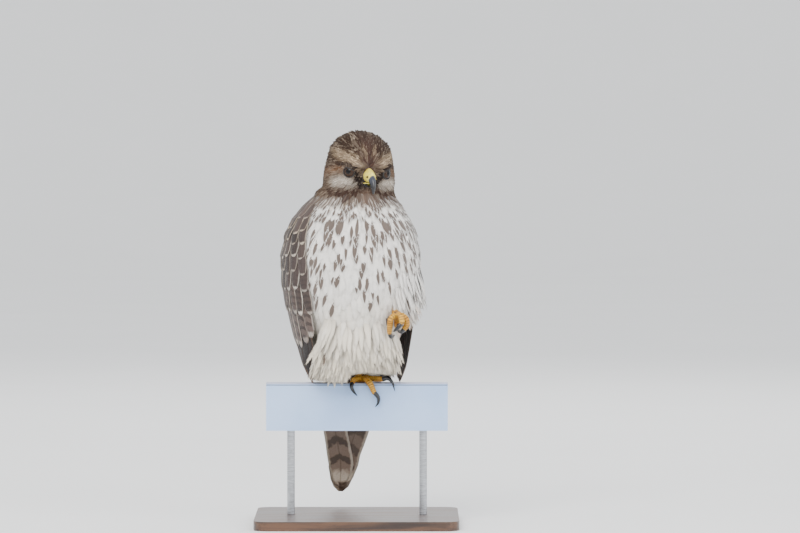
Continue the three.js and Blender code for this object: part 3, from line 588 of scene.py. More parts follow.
def bodyMarkings(points, random, second):
    x, y, z = points.T
    angle = np.degrees(np.arctan2(x - 2, -(y - 2)))  # 0 in front, 180 behind
    behind = smoothStep(92, 122, np.abs(angle))
    ground = np.repeat(plumage["white"][None], len(x), 0)
    ground = mixed(ground, plumage["cream"], smoothStep(160, 60, z) * (0.5 + 0.5 * second))
    chest, sides = smoothStep(95, 205, z), smoothStep(22, 62, np.abs(angle))
    likely = (0.04 + 0.21 * chest + 0.11 * sides + 0.26 * smoothStep(185, 230, z)) * smoothStep(30, 120, z)
    streak = np.where(random < likely, 0.6 + 0.4 * second, 0.0)
    ground = mixed(ground, plumage["buff"] * 0.9, smoothStep(234, 250, z) * random)
    rufous = bump(angle - 62, 18) * bump(z - 100, 26) * (random > 0.55)
    ground = mixed(ground, plumage["rust"] * 1.2, rufous * 0.55)
    edge = mixed(ground, plumage["mantleEdge"], behind)
    ground = mixed(ground, plumage["mantle"] * (0.8 + 0.4 * second.mean()), behind)
    return ground, edge, np.clip(streak * (1 - behind) + 0.25 * behind, 0, 1.2)


def markingsAndBrowShadeAt(points, random, second):
    onHead = smoothStep(238, 249, points[:, 2])
    head, body = headMarkingsAndBrowShade(toHead(points), random), bodyMarkings(points, random, second)
    share = (onHead[:, None], onHead[:, None], onHead)
    return [b * (1 - s) + a * s for a, b, s in zip(head, body, share)]


def featherShape(rows, width, seed, fray=0.0, barbs=0, droop=0.16, crown=0.07):  # a thin closed leaf, and its barbs
    draw = np.random.default_rng(seed)
    along = np.linspace(0, 1, rows + 2)[1:-1]
    edges = [
        width(along) * (1 + fray * draw.uniform(-1, 0.4, rows) * (np.arange(first, rows + first) % 2))
        for first in (0, 1)
    ]
    points = [(0, 0, 0)]
    for t, left, right in zip(along, *edges):
        points += [(t, -left, -droop), (t, right, -droop), (t, 0, crown), (t, 0, -0.04)]
    points.append((1, 0, -droop * 0.5))
    first, last = 1, 1 + 4 * (rows - 1)
    faces = []
    for edge, middle, step in ((0, 2, 1), (1, 2, -1), (0, 3, -1), (1, 3, 1)):
        for a in range(first, last, 4):
            b = a + 4
            faces += [(a + edge, a + middle, b + middle)[::step], (a + edge, b + middle, b + edge)[::step]]
        faces += [(0, first + middle, first + edge)[::step], (last + edge, last + middle, last + 4)[::step]]
    faces = [outwardFaces(np.array(points, float), np.array(faces, np.int32))]
    order = np.array([(0, 1, 3), (1, 2, 3), (2, 0, 3), (0, 2, 1)])
    for k in range(barbs):
        t = 0.3 + 0.66 * (k + draw.uniform(0.2, 0.8)) / barbs
        side = 1 if k % 2 else -1
        w = float(width(np.array([t]))[0])
        reach = w * draw.uniform(0.95, 1.3) + 0.05
        start = len(points)
        points += [
            (t - 0.05, side * w * 0.5, -0.02), (t + 0.04, side * w * 0.5, -0.02), (t, side * w * 0.6, -0.1),
            (min(t + draw.uniform(0.09, 0.17), 1.1), side * reach, -droop * draw.uniform(0.5, 1.3)),
        ]
        faces.append(outwardFaces(np.array(points[start:], float), order) + start)
    return np.array(points, float), np.vstack(faces).astype(np.int32)


def leafWidth(t):
    return np.sin(np.pi * np.clip(t, 0, 1) ** 0.72) ** 0.62


def slimWidth(t):
    return np.sin(np.pi * np.clip(t, 0, 1) ** 0.85) ** 0.85


courseSteps = 4  # places at which a feather reads its course


def followSkin(roots, normals, ways, length):
    place, up = roots, normals
    way = unit(ways - up * (ways * up).sum(1, keepdims=True))
    course = [(place, up, way)]
    for _ in range(courseSteps - 1):
        place, up = onSkin(place + way * (length / (courseSteps - 1))[:, None])
        way = unit(way - up * (way * up).sum(1, keepdims=True))
        course.append((place, up, way))
    return [np.stack(part, 1) for part in zip(*course)]


def hangFree(roots, normals, ways, length):
    way = unit(ways)
    up = unit(normals - way * (normals * way).sum(1, keepdims=True))
    steps = range(courseSteps)
    path = [roots + way * (length * k / (courseSteps - 1))[:, None] + up * 0.5 * k for k in steps]
    return [np.stack(part, 1) for part in (path, [up for _ in steps], [way for _ in steps])]


def layFeathers(roots, normals, ways, size, shapes, pickShape, course):
    lines = course(roots, normals, ways, size["length"])
    made, start = [], 0
    for k, (shape, triangles) in enumerate(shapes):
        mine = np.flatnonzero(pickShape == k)
        if not len(mine):
            continue
        t = np.clip(shape[:, 0], 0, 1.12)
        s = np.clip(t * (courseSteps - 1), 0, courseSteps - 1 - 1e-6)
        low = s.astype(int)
        part = (s - low)[None, :, None]
        high = np.minimum(low + 1, courseSteps - 1)
        centre, top, ahead = [a[mine][:, low] * (1 - part) + a[mine][:, high] * part for a in lines]
        top, ahead = unit(top), unit(ahead)
        side = unit(np.cross(top, ahead))
        length, w, lift, rise = [size[key][mine][:, None] for key in ("length", "width", "lift", "rise")]
        spots = (
            centre + ahead * (np.clip(t - 1, 0, None) * length)[..., None]
            + side * (shape[:, 1] * w / 2)[..., None]
            + top * (lift + rise * t**1.15 + shape[:, 2] * w)[..., None]
        )
        curve = side * (shape[:, 1] * 0.75)[:, None] + ahead * (0.6 * (t - 0.5))[:, None]
        places = np.tile(np.stack([t, shape[:, 1] * 0.5 + 0.5], -1), (len(mine), 1))
        faces = triangles[None] + (np.arange(len(mine)) * len(shape))[:, None, None] + start
        owner = np.repeat(mine, len(shape))
        made.append((spots.reshape(-1, 3), faces.reshape(-1, 3), places, owner, unit(top + curve).reshape(-1, 3)))
        start += len(owner)
    return [np.concatenate(part) for part in zip(*made)]


batchTriangles = 185000  # most triangles in one piece of the coat
bakePatch = 0.003  # size of one feather on the map for baking


def coatPiece(name, roots, normals, ways, size, shapes, colours, material, slotName, course=followSkin):
    ground, edge, streak, random = colours
    perFeather = max(len(f) for _, f in shapes)
    batches = int(np.ceil(len(roots) * perFeather / batchTriangles))
    pick = rng.integers(0, len(shapes), len(roots))
    for k in range(batches):
        mine = np.arange(k, len(roots), batches)
        part = {key: value[mine] for key, value in size.items()}
        points, faces, places, owner, shading = layFeathers(
            roots[mine], normals[mine], ways[mine], part, shapes, pick[mine], course,
        )
        maps = {"feather": places, "OFBake": unwrapOf(roots[mine])[owner] + (places - 0.5) * bakePatch}
        tints = {
            "plume": np.column_stack([ground[mine][owner], streak[mine][owner]]),
            "rim": np.column_stack([edge[mine][owner], random[mine][owner]]),
        }
        piece = makeMesh(f"{name}_{k + 1}", toWorld(points), faces, maps, tints, normals=shading @ birdTurn.T)
        settle(piece, material, slotName)
    print(f"{name}: {len(roots)} feathers in {batches} pieces")


def markGroup():
    group = bpy.data.node_groups.new("featherMarks", "ShaderNodeTree")
    names = {"INPUT": ("Streak", "Barbs"), "OUTPUT": ("Streak", "Rim", "Barbs", "Along")}
    for way, sockets in names.items():
        for name in sockets:
            group.interface.new_socket(name, in_out=way, socket_type="NodeSocketFloat")
    net = Net(group=group)
    inside, out = group.nodes.new("NodeGroupInput").outputs, group.nodes.new("NodeGroupOutput").inputs
    along, side = net.onMap("feather")
    across = net.maths("ABSOLUTE", net.maths("MULTIPLY_ADD", side, 2.0, -1.0))
    belly = net.maths("SINE", net.times(net.maths("POWER", along, 1.7), math.pi))
    width = net.times(net.times(belly, inside["Streak"]), 0.62)
    streak = net.ramp(net.minus(width, across), -0.1, 0.06)
    streak = net.times(streak, net.ramp(inside["Streak"], 0.05, 0.25))
    rim = net.maths("MAXIMUM", net.ramp(across, 0.5, 0.9), net.ramp(along, 0.84, 0.97))
    slant = net.plus(along, net.times(across, -0.35))
    barbs = net.maths("SINE", net.times(slant, inside["Barbs"]))
    for name, value in zip(names["OUTPUT"], (streak, rim, barbs, along)):
        net.feed(out[name], value)
    return group


marks = markGroup()


def plumageMaterial(name, plan):
    net = Net(name)
    (ground, streakShare), (edge, random) = net.painted("plume"), net.painted("rim")
    group = net.tree.nodes.new("ShaderNodeGroup")
    group.node_tree = marks
    net.feed(group.inputs["Streak"], streakShare)
    group.inputs["Barbs"].default_value = plan["barbs"]
    mark = group.outputs
    colour = net.blend(net.times(mark["Rim"], plan["rim"]), ground, edge)
    colour = net.blend(net.times(mark["Streak"], plan["streak"]), colour, plan["streakColour"])
    shade = net.maths("MULTIPLY_ADD", random, plan["vary"], 1 - plan["vary"] / 2)
    shade = net.times(shade, net.ramp(mark["Along"], 0.0, 0.55, plan["rootShade"], 1.0))
    shade = net.times(shade, net.ramp(mark["Barbs"], -1, 1, 1 - plan["lines"], 1.0))
    return net.finish(
        net.shaded(colour, shade), plan["roughness"], (mark["Barbs"], 0.25, 0.0003),
        Specular_IOR_Level=0.15, Sheen_Weight=plan["sheen"], Sheen_Roughness=0.6,
    )


softPlumage = plumageMaterial("soft_plumage", {
    "streakColour": plumage["streak"], "streak": 0.95, "rim": 0.6, "vary": 0.16, "rootShade": 0.74,
    "barbs": 120.0, "lines": 0.12, "roughness": 0.85, "sheen": 0.25,
})
headPlumage = plumageMaterial("head_plumage", {
    "streakColour": plumage["dark"] * 1.2, "streak": 0.55, "rim": 0.8, "vary": 0.4, "rootShade": 0.6,
    "barbs": 60.0, "lines": 0.12, "roughness": 0.9, "sheen": 0.0,
})


def skinMaterial():
    net = Net("down_under_feathers")
    fluff = net.noise(net.place(), 420.0, 4.0)
    colour = net.shaded(net.painted("plume")[0], net.ramp(fluff, 0.3, 0.7, 0.62, 0.9))
    return net.finish(colour, 0.9, (fluff, 0.5, 0.001))


headTurn = np.array(headMatrix)[:3, :3]
coatPlan = {  # spacing, length, width, rise, lift, in mm
    "face": (1.3, 4.4, 1.8, 0.8, 0.05),
    "head": (2.15, 10.0, 4.2, 2.2, 0.2),
    "neck": (3.3, 20.0, 8.0, 2.6, 0.2),
    "body": (4.9, 34.0, 13.0, 2.6, 0.3),
    "trousers": (3.7, 27.0, 7.0, 3.0, 0.3),
    "back": (6.5, 30.0, 19.0, 4.8, 0.3),
}


def zoneOf(points):
    local = toHead(points)
    side = np.abs(local[:, 0])
    reach = [eyeReach(local, 1), eyeReach(local, -1)]
    eyeGap = np.minimum(*[np.where(distance < 16, outside, 90) for distance, outside in reach])
    zone = np.full(len(points), "body", dtype="<U9")
    zone[(points[:, 1] > 22)] = "back"
    low = (points[:, 2] < 74) & (points[:, 1] < 40) | (points[:, 2] < 36)
    zone[low] = "trousers"
    zone[points[:, 2] > 226] = "neck"
    high = points[:, 2] > 248
    zone[high] = "head"
    zone[high & ((eyeGap < 40) | ((side < 15) & (local[:, 1] < -34) & (local[:, 2] < -3)))] = "face"
    bill = (side < 6.4) & (local[:, 1] < -38) & (local[:, 2] < -4) & (local[:, 2] > -27)
    zone[high & ((eyeGap < 6.5) | bill)] = "bare"
    return zone


def scatter(count, spacing, zoneName):
    corners = skinPoints[skinFaces]
    area = np.linalg.norm(np.cross(corners[:, 1] - corners[:, 0], corners[:, 2] - corners[:, 0]), axis=1)
    centres = corners.mean(1)
    area = area * (zoneOf(centres) == zoneName) * ~underWing(centres)
    chosen = rng.choice(len(area), count, p=area / area.sum())
    a, b = rng.random((2, count, 1))
    flip = (a + b > 1)[:, 0]
    a[flip], b[flip] = 1 - a[flip], 1 - b[flip]
    c = corners[chosen]
    points = c[:, 0] + a * (c[:, 1] - c[:, 0]) + b * (c[:, 2] - c[:, 0])
    taken, kept = {}, []
    keys = np.floor(points / spacing).astype(int)
    near = [(i, j, k) for i in (-1, 0, 1) for j in (-1, 0, 1) for k in (-1, 0, 1)]
    for n in range(count):
        x, y, z = keys[n]
        p = points[n]
        clear = True
        for i, j, k in near:
            for other in taken.get((x + i, y + j, z + k), ()):
                q = points[other]
                if (p[0] - q[0]) ** 2 + (p[1] - q[1]) ** 2 + (p[2] - q[2]) ** 2 < spacing * spacing:
                    clear = False
                    break
            if not clear:
                break
        if clear:
            taken.setdefault((x, y, z), []).append(n)
            kept.append(n)
    normals = skinNormals[skinFaces[chosen[kept]]].mean(1)
    return points[kept], unit(normals)


def underWing(points):
    hidden = np.zeros(len(points), bool)
    for plan in wingPlan.values():
        x = points[:, 0] * plan["sign"]
        angle = np.degrees(np.arctan2(points[:, 1] / 86, x / 92))
        u = np.clip((wingTop - points[:, 2]) / (wingTop - 20), 0, 1)
        steps = np.linspace(0, 1, 5)
        front, back = np.interp(u, steps, plan["front"]), np.interp(u, steps, wingBack)
        hidden |= (angle > front + 9) & (angle < back - 12) & (points[:, 2] > 30) & (points[:, 2] < 218) & (x > 0)
    return hidden


def wayOf(points):
    local = toHead(points)
    onHead = smoothStep(240, 262, points[:, 2])[:, None]
    away = unit(local - np.array([0, -50, -9])) + np.array([0, 0.1, -0.22])
    for side in (-1, 1):
        distance, outside = eyeReach(local, side)
        round_ = local - eyeSpot(side) - eyeLook(side) * 8
        away += unit(round_) * (2.2 * bump(np.clip(outside, 0, None), 26) * (distance < 18))[:, None]
    away = away @ headTurn.T
    angle = np.arctan2(points[:, 0], -points[:, 1])
    down = np.stack([0.16 * np.sin(angle), np.full(len(points), 0.12), np.full(len(points), -1.0)], -1)
    down[:, 1] += 0.25 * smoothStep(20, -40, points[:, 2])
    return down * (1 - onHead) + away * onHead


def dress(name, zoneName, candidates, shapes, material):
    spacing, length, width, rise, lift = coatPlan[zoneName]
    roots, normals = scatter(candidates, spacing, zoneName)
    count = len(roots)
    random, second, third = rng.random((3, count))
    ground, edge, streak = markingsAndBrowShadeAt(roots, random, second)
    ways = wayOf(roots) + rng.normal(0, 0.09, (count, 3))
    marked = (streak > 0.4) & (zoneName in ("body", "trousers", "neck"))
    crest = bump(toHead(roots)[:, 2] - 34, 15) * (zoneName == "head")
    size = {
        "length": length * (0.85 + 0.3 * third) * (1 + 0.2 * crest),
        "width": width * (0.85 + 0.3 * second) * (1 - 0.12 * marked),
        "rise": rise * (0.75 + 0.5 * random) * (1 + 1.1 * crest * third) + 1.5 * marked,
        "lift": lift + 0.4 * crest * third,
    }
    colours = (ground, edge, streak, third)
    slotName = "plumage_head" if zoneName in ("head", "face") else "plumage_body"
    coatPiece(name, roots - normals * 0.4, normals, ways, size, shapes, colours, material, slotName)


hangPlan = {  # how many feathers, how far they may fall in mm, and how much they spread outward
    "skirt": {"count": 3800, "drop": 40, "spread": 1},
    "flank": {"count": 700, "drop": 44, "spread": 0},
}


def dressHanging(name, among, chance, floor):  # feathers that fall free of the skin, down to a floor
    count, drop, spread = hangPlan[name].values()
    chosen = rng.choice(among, count, p=chance)
    roots, normals = skinPoints[chosen], skinNormals[chosen].copy()
    x, high = roots[:, 0], smoothStep(26, 62, roots[:, 2])
    random, second, third = rng.random((3, count))
    ground, edge, streak = markingsAndBrowShadeAt(roots, random, second)
    lean = np.sign(x) * (0.02 + 0.0008 * np.abs(x) ** 1.25) * spread * smoothStep(4, 26, np.abs(x))
    lean -= 0.16 * spread * smoothStep(-24, -42, x)
    outward = np.stack([lean, np.full(count, -0.02), np.zeros(count)], -1)
    ways = np.array([0, 0, -1.0]) + outward + rng.normal(0, 0.08, (count, 3))
    reach = np.clip(roots[:, 2] - floor(roots), 5, 60) * (1 - 0.2 * third)
    size = {
        "length": np.minimum(reach, drop * (0.7 + 0.5 * second)),
        "width": 4.5 + 2.0 * second + 2 * high,
        "rise": 1.6 + 1.5 * random + 2.4 * high,
        "lift": np.full(count, -0.6),
    }
    normals[:, 2] = 0
    colours = (ground, edge, streak, third)
    flat = unit(normals)
    coatPiece(
        f"{name}_feathers", roots - normals, flat, ways, size, softShapes, colours,
        softPlumage, "plumage_body", hangFree,
    )


def skirtFloor(roots):  # the toes show under it, and a few feathers fall in front of the rail
    x, y, _ = roots.T
    floor = np.where((y < -24) & (rng.random(len(roots)) < 0.04) & (x < -20), -8.0, 1.6)
    return np.where((x > -18) & (x < 50) & (y < 12), 16.0 - 0.2 * np.abs(x - 8), floor)


def flankFloor(roots):  # over the front edge of the left wing
    return 66 + 26 * smoothStep(62, 82, roots[:, 0]) + 8 * rng.random(len(roots))


bodyShapes = [featherShape(7, leafWidth, seed, fray=0.4, barbs=14, droop=0.04, crown=0.03) for seed in range(5)]
softShapes = [featherShape(6, slimWidth, seed + 9, fray=0.5, barbs=16, droop=0.07, crown=0.04) for seed in range(5)]
headShapes = [featherShape(4, slimWidth, seed + 20, fray=0.3, barbs=2, droop=0.2) for seed in range(4)]
faceShapes = [featherShape(3, slimWidth, seed + 30, fray=0.2, droop=0.2) for seed in range(3)]

middling = np.full(len(skinPoints), 0.5)
paintPoints(skin, "plume", np.column_stack([markingsAndBrowShadeAt(skinPoints, middling, middling)[0], np.ones(len(skinPoints))]))
bakeLayer = skin.data.uv_layers.new(name="OFBake")
loopSpots = np.empty(len(skin.data.loops), np.int32)
skin.data.loops.foreach_get("vertex_index", loopSpots)
bakeLayer.data.foreach_set("uv", unwrapOf(skinPoints)[loopSpots].astype(np.float32).ravel())
settle(skin, skinMaterial(), "plumage_body", "head", "torso", "thigh_right", "thigh_left")

dress("breast_feathers", "body", 40000, bodyShapes, softPlumage)
dress("back_feathers", "back", 16000, bodyShapes, softPlumage)
dress("trouser_feathers", "trousers", 30000, softShapes, softPlumage)
x, y, z = skinPoints.T
middle = (z < 34) | ((np.abs(x + 2) < 46) & (y < 4))
low = np.flatnonzero((z > 12) & (z < 92) & (y < 34) & (skinNormals[:, 2] < 0.35) & middle)
chance = 1 - 0.75 * smoothStep(24, 50, z[low]) - 0.2 * smoothStep(50, 90, z[low])
dressHanging("skirt", low, chance / chance.sum(), skirtFloor)
flank = np.flatnonzero((x > 44) & (z > 98) & (z < 165) & (y < 16) & (skinNormals[:, 2] < 0.4))
dressHanging("flank", flank, None, flankFloor)
dress("neck_feathers", "neck", 24000, softShapes, softPlumage)
dress("head_feathers", "head", 60000, headShapes, headPlumage)
dress("face_feathers", "face", 30000, faceShapes, headPlumage)


def quillWidth(kind, t):
    if kind == "round":
        root = smoothStep(-0.1, 0.34, t)
        tip = np.sqrt(np.clip(1 - (np.clip(t - 0.5, 0, 1) / 0.506) ** 2.3, 0, 1))
    elif kind == "long":
        root = smoothStep(-0.2, 0.2, t)
        tip = np.sqrt(np.clip(1 - (np.clip(t - 0.82, 0, 1) / 0.183) ** 2.1, 0, 1))
    else:
        root = smoothStep(-0.2, 0.2, t)
        tip = (1 - 0.25 * smoothStep(0.5, 1, t)) * np.sqrt(np.clip(1 - (np.clip(t - 0.9, 0, 1) / 0.102) ** 2, 0, 1))
    return np.maximum(root * tip, 0.05)


def quillShape(kind, rows, columns, seed):  # a thin closed vane: along, across, crown, depth of its underside
    draw = np.random.default_rng(seed)
    t = 1 - (1 - np.linspace(0, 1, rows)) ** 1.35
    s = np.linspace(-1, 1, columns)
    t2, s2 = np.meshgrid(t, s, indexing="ij")
    ragged = 1 + 0.05 * draw.uniform(-1, 1, (rows, 2))
    width = quillWidth(kind, t)[:, None] * np.where(s2 < 0, ragged[:, :1], ragged[:, 1:])
    lean = 0.03 * draw.uniform(-1, 1) * np.sin(t2 * 3)
    top = np.stack([t2, s2 * width + lean, (1 - s2**2) * width, 0 * t2, s2], -1).reshape(-1, 5)
    under = top.reshape(rows, columns, 5)[1:-1, 1:-1].reshape(-1, 5).copy()
    under[:, 3] = 1
    spot = np.arange(rows * columns).reshape(rows, columns)
    low = spot.copy()
    low[1:-1, 1:-1] = rows * columns + np.arange(len(under)).reshape(rows - 2, columns - 2)

    return np.vstack([top, under]), np.vstack([cells(spot), cells(low)[:, ::-1]])


def wingQuill(plan, start, end, size, shape):
    t, s, crown, under = shape[:, :4].T
    (high, first), (low, last) = wingSpot(plan, *start), wingSpot(plan, *end)
    radius = float(outlineAt(1, max((high + low) / 2, 0))) * 0.95
    run, drop = (last - first) * radius, low - high
    length = math.hypot(run, drop)
    across = s * size["width"] / 2
    z = high + drop * t + across * run / length
    angle = first + (last - first) * t - across * drop / length / radius
    down = np.clip((wingTop - z) / (wingTop - 20), 0, 1)
    front = np.radians(np.interp(down, np.linspace(0, 1, 5), plan["front"]))
    back = np.radians(np.interp(down, np.linspace(0, 1, 5), wingBack))
    v = (angle - front) / (back - front)
    lift = size["root"] + (size["tip"] - size["root"]) * t**0.8 - size["tilt"] * s
    lift = lift + crown * size["crown"] - under * size["thick"] - 0.5 * smoothStep(0.86, 1, t)
    lift = lift - size["tuck"] * (1 - smoothStep(-0.02, 0.2, v)) - 2.0 * smoothStep(0.9, 1.15, v) * (size["tuck"] > 0)
    return wingPoint(plan, z, angle, lift)


# Rows of a folded wing, from the lowest layer to the top one. u runs down the wing, v from front to back.
# from and to hold the u of a row's roots or tips, and the v of its first and last feather.
wingKeys = (
    "name", "kind", "count", "from", "to", "steps", "width", "root",
    "tip", "tilt", "tuck", "ground", "edge", "bars", "vary",
)
wingTable = [
    ("primaries", "sharp", 9, (0.44, 0.05, 0.32), (0.95, 0.03, 0.5),
     (0.0, 0.03, 0.045, 0.045, 0.035, 0.01, -0.02, -0.05, -0.08),
     20, -6.8, -2.6, 0.9, 1.5, (37, 30, 28), (128, 102, 84), 0.2, 0.25),
    ("secondaries", "long", 12, (0.38, 0.06, 0.84), (0.8, 0.08, 0.9),
     (-0.05, -0.02, 0, 0.01, 0.02, 0.02, 0.02, 0.015, 0.01, 0.0, -0.01, -0.02),
     21, -5.2, -1.6, 0.7, 1.8, (86, 72, 66), (206, 196, 184), 1.0, 0.2),
    ("tertials", "long", 5, (0.36, 0.74, 0.95), (0.88, 0.74, 0.95), (0.0, 0.02, 0.01, -0.02, -0.06),
     24, -4.0, -0.6, 0.7, 0, (70, 56, 50), (188, 172, 154), 0.8, 0.2),
    ("greater_coverts", "round", 14, (0.36, 0.03, 0.97), (0.605, 0.04, 0.97), (0.0,),
     18, -3.6, -0.7, 0.5, 2.6, (74, 60, 54), (222, 212, 198), 0.75, 0.3),
    ("median_coverts", "round", 13, (0.27, 0.02, 0.98), (0.475, 0.03, 0.98), (0.0,),
     18, -3.4, -0.3, 0.5, 3.2, (58, 46, 42), (226, 216, 202), 0.35, 0.4),
    ("lesser_coverts_4", "round", 13, (0.2, 0.02, 0.98), (0.37, 0.03, 0.98), (0.0,),
     17, -3.2, -0.1, 0.4, 3.6, (54, 43, 40), (214, 200, 182), 0.1, 0.45),
    ("lesser_coverts_3", "round", 12, (0.13, 0.02, 0.98), (0.285, 0.03, 0.98), (0.0,),
     17, -3.2, 0.0, 0.4, 3.8, (58, 46, 41), (226, 214, 198), 0.0, 0.45),
    ("lesser_coverts_2", "round", 11, (0.06, 0.02, 0.98), (0.205, 0.03, 0.98), (0.0,),
     16, -3.2, 0.0, 0.4, 3.8, (60, 48, 43), (222, 206, 184), 0.0, 0.45),
    ("lesser_coverts_1", "round", 11, (-0.01, 0.02, 0.98), (0.13, 0.03, 0.98), (0.0,),
     15, -3.2, -0.2, 0.4, 3.8, (62, 50, 45), (214, 196, 172), 0.0, 0.45),
    ("shoulder", "round", 10, (-0.07, 0.04, 0.98), (0.06, 0.04, 0.98), (0.0,),
     14, -3.4, -0.8, 0.4, 3.6, (74, 60, 54), (206, 192, 174), 0.0, 0.45),
    ("scapulars_3", "round", 5, (0.2, 0.72, 1.12), (0.47, 0.74, 1.06), (0.0,),
     27, -2.2, 0.8, 0.5, 0, (76, 58, 48), (186, 164, 140), 0.5, 0.3),
    ("scapulars_2", "round", 6, (0.09, 0.68, 1.16), (0.33, 0.7, 1.12), (0.0,),
     26, -2.0, 1.2, 0.5, 0, (82, 63, 52), (214, 200, 182), 0.3, 0.35),
    ("scapulars_1", "round", 6, (-0.02, 0.66, 1.18), (0.19, 0.68, 1.16), (0.0,),
     24, -2.0, 1.2, 0.5, 0, (78, 60, 50), (200, 182, 160), 0.0, 0.35),
]
wingRows = [dict(zip(wingKeys, row)) for row in wingTable]
quillShapes = {
    "sharp": [quillShape("sharp", 14, 7, seed) for seed in range(3)],
    "long": [quillShape("long", 13, 7, seed + 5) for seed in range(3)],
    "round": [quillShape("round", 9, 7, seed + 10) for seed in range(4)],
}


def quill(points, form, root, ground, edge, bars, vary):  # one feather with its maps and tints
    shape, triangles = form
    shade = 1 + vary * rng.uniform(-1, 1)
    places = np.stack([shape[:, 0], shape[:, 4] * 0.5 + 0.5], -1)
    plume = np.tile([*(tone(*ground) * shade), bars * rng.uniform(0.75, 1.1)], (len(shape), 1))
    share = rng.uniform(0.35, 1.0)
    rimTone = tone(*edge) * share + tone(*ground) * 1.6 * (1 - share)
    rim = np.tile([*rimTone, rng.random()], (len(shape), 1))
    return points, outwardFaces(points, triangles), places, root + (places - 0.5) * bakePatch, plume, rim


def quillPiece(name, quills, replaced):
    points, faces, places, bake, plume, rim = zip(*quills)
    points, faces = joined(list(zip(points, faces)))
    maps = {"feather": np.vstack(places), "OFBake": np.vstack(bake)}
    piece = makeMesh(name, toWorld(points), faces, maps, {"plume": np.vstack(plume), "rim": np.vstack(rim)})
    settle(piece, quillMaterial, "flight_feathers", replaced)
    print(name, len(faces), "triangles")


def buildWing(side, plan):
    quills = []
    for row in wingRows:
        (u, front, back), (tipU, tipFront, tipBack) = row["from"], row["to"]
        steps, isScapular = row["steps"], row["name"].startswith("scapulars")
        for k in np.linspace(0, 1, row["count"]):
            jitter = rng.normal(0, 1.3, 4) * (0.008, 0.006, 0.009, 0.006)
            step = np.interp(k, np.linspace(0, 1, len(steps)), steps)
            place = [u + jitter[0], front + (back - front) * k + jitter[1]]
            tip = [tipU + step + jitter[2], tipFront + (tipBack - tipFront) * k + jitter[3]]
            size = {key: row[key] for key in ("width", "root", "tip", "tilt", "tuck")}
            size.update(crown=1.4 if row["kind"] == "round" else 1.1, thick=0.5)
            size["tip"] += 0.25 * rng.uniform(-1, 1)
            form = quillShapes[row["kind"]][rng.integers(0, 3)]
            points = wingQuill(plan, place, tip, size, form[0])
            root = unwrapOf(wingPoint(plan, *[np.atleast_1d(a) for a in wingSpot(plan, *place)], 0.0))[0]
            ground = (112, 94, 80) if isScapular and rng.random() < 0.3 else row["ground"]
            quills.append(quill(points, form, root, ground, row["edge"], row["bars"], row["vary"]))
    quillPiece(f"wing_feathers_{side}", quills, f"wing_{side}")


tailPlan = {"root": (4, 61, 34), "tip": (-2, 99, -152), "width": 33.0, "open": 20.0, "shut": 3.0, "pairs": 6}
tailCoverts = (  # count, top, low end, rise, width
    (14, 30, -38, 0.0, 27), (12, 40, -10, 1.2, 25), (10, 46, 16, 2.4, 24),
)


def buildTail():
    root, tip = np.array(tailPlan["root"], float), np.array(tailPlan["tip"], float)
    down = tip - root
    length = np.linalg.norm(down)
    down = down / length
    across = unit(np.array([1.0, 0, 0]) - down * down[0])
    outward = np.cross(across, down)
    outward *= np.sign(outward[1])
    bakeRoot = unwrapOf(root[None])[0]
    quills = []
    for pair in range(tailPlan["pairs"]):
        for side in (-1, 1):
            spread = side * (pair + 0.4) / tailPlan["pairs"]
            reach = length - pair * 2.4 - 1.6 * rng.random()
            layer = 4.2 - pair * 1.7 + (0.85 if side > 0 else 0)
            form = quillShapes["long"][rng.integers(0, 3)]
            t, s, crown, under = form[0][:, :4].T
            fan = tailPlan["open"] + (tailPlan["shut"] - tailPlan["open"]) * smoothStep(0.42, 0.92, t)
            aside = spread * fan + s * tailPlan["width"] / 2 * (0.55 + 0.45 * smoothStep(0, 0.4, t))
            lift = layer - 0.003 * aside**2 + crown * 0.9 - under * 0.45
            points = root + down * (t * reach)[:, None] + across * aside[:, None] + outward * lift[:, None]
            baked = bakeRoot + (0.01 * spread, 0)
            quills.append(quill(points, form, baked, (112, 94, 80), (196, 180, 160), 1.0, 0.08))
    for face, ground, edge in ((1, (92, 72, 60), (190, 170, 146)), (-1, (226, 220, 208), (236, 232, 226))):
        for count, high, low, rise, width in tailCoverts:
            for i in range(count // 2):
                k = (i / (count // 2 - 1)) * 2 - 1
                form = quillShapes["round"][rng.integers(0, 4)]
                t, s, crown, under = form[0][:, :4].T
                aside = k * (19 - 4 * t) + s * width / 2
                z = high + (low - high) * t + 3 * rng.uniform(-1, 1)
                share = (z - root[2]) / (tip[2] - root[2])
                middle = root + np.clip(share, -0.4, 1)[:, None] * (tip - root)
                lift = face * (7.5 + rise + crown * 1.2 - under * 0.45 - 0.006 * aside**2 - 2.5 * t)
                points = middle + across * aside[:, None] + outward * lift[:, None]
                baked = bakeRoot + (0.01 * k, 0.02)
                quills.append(quill(points, form, baked, ground, edge, 0.15 * (face > 0), 0.12))
    quillPiece("tail_feathers", quills, "tail")


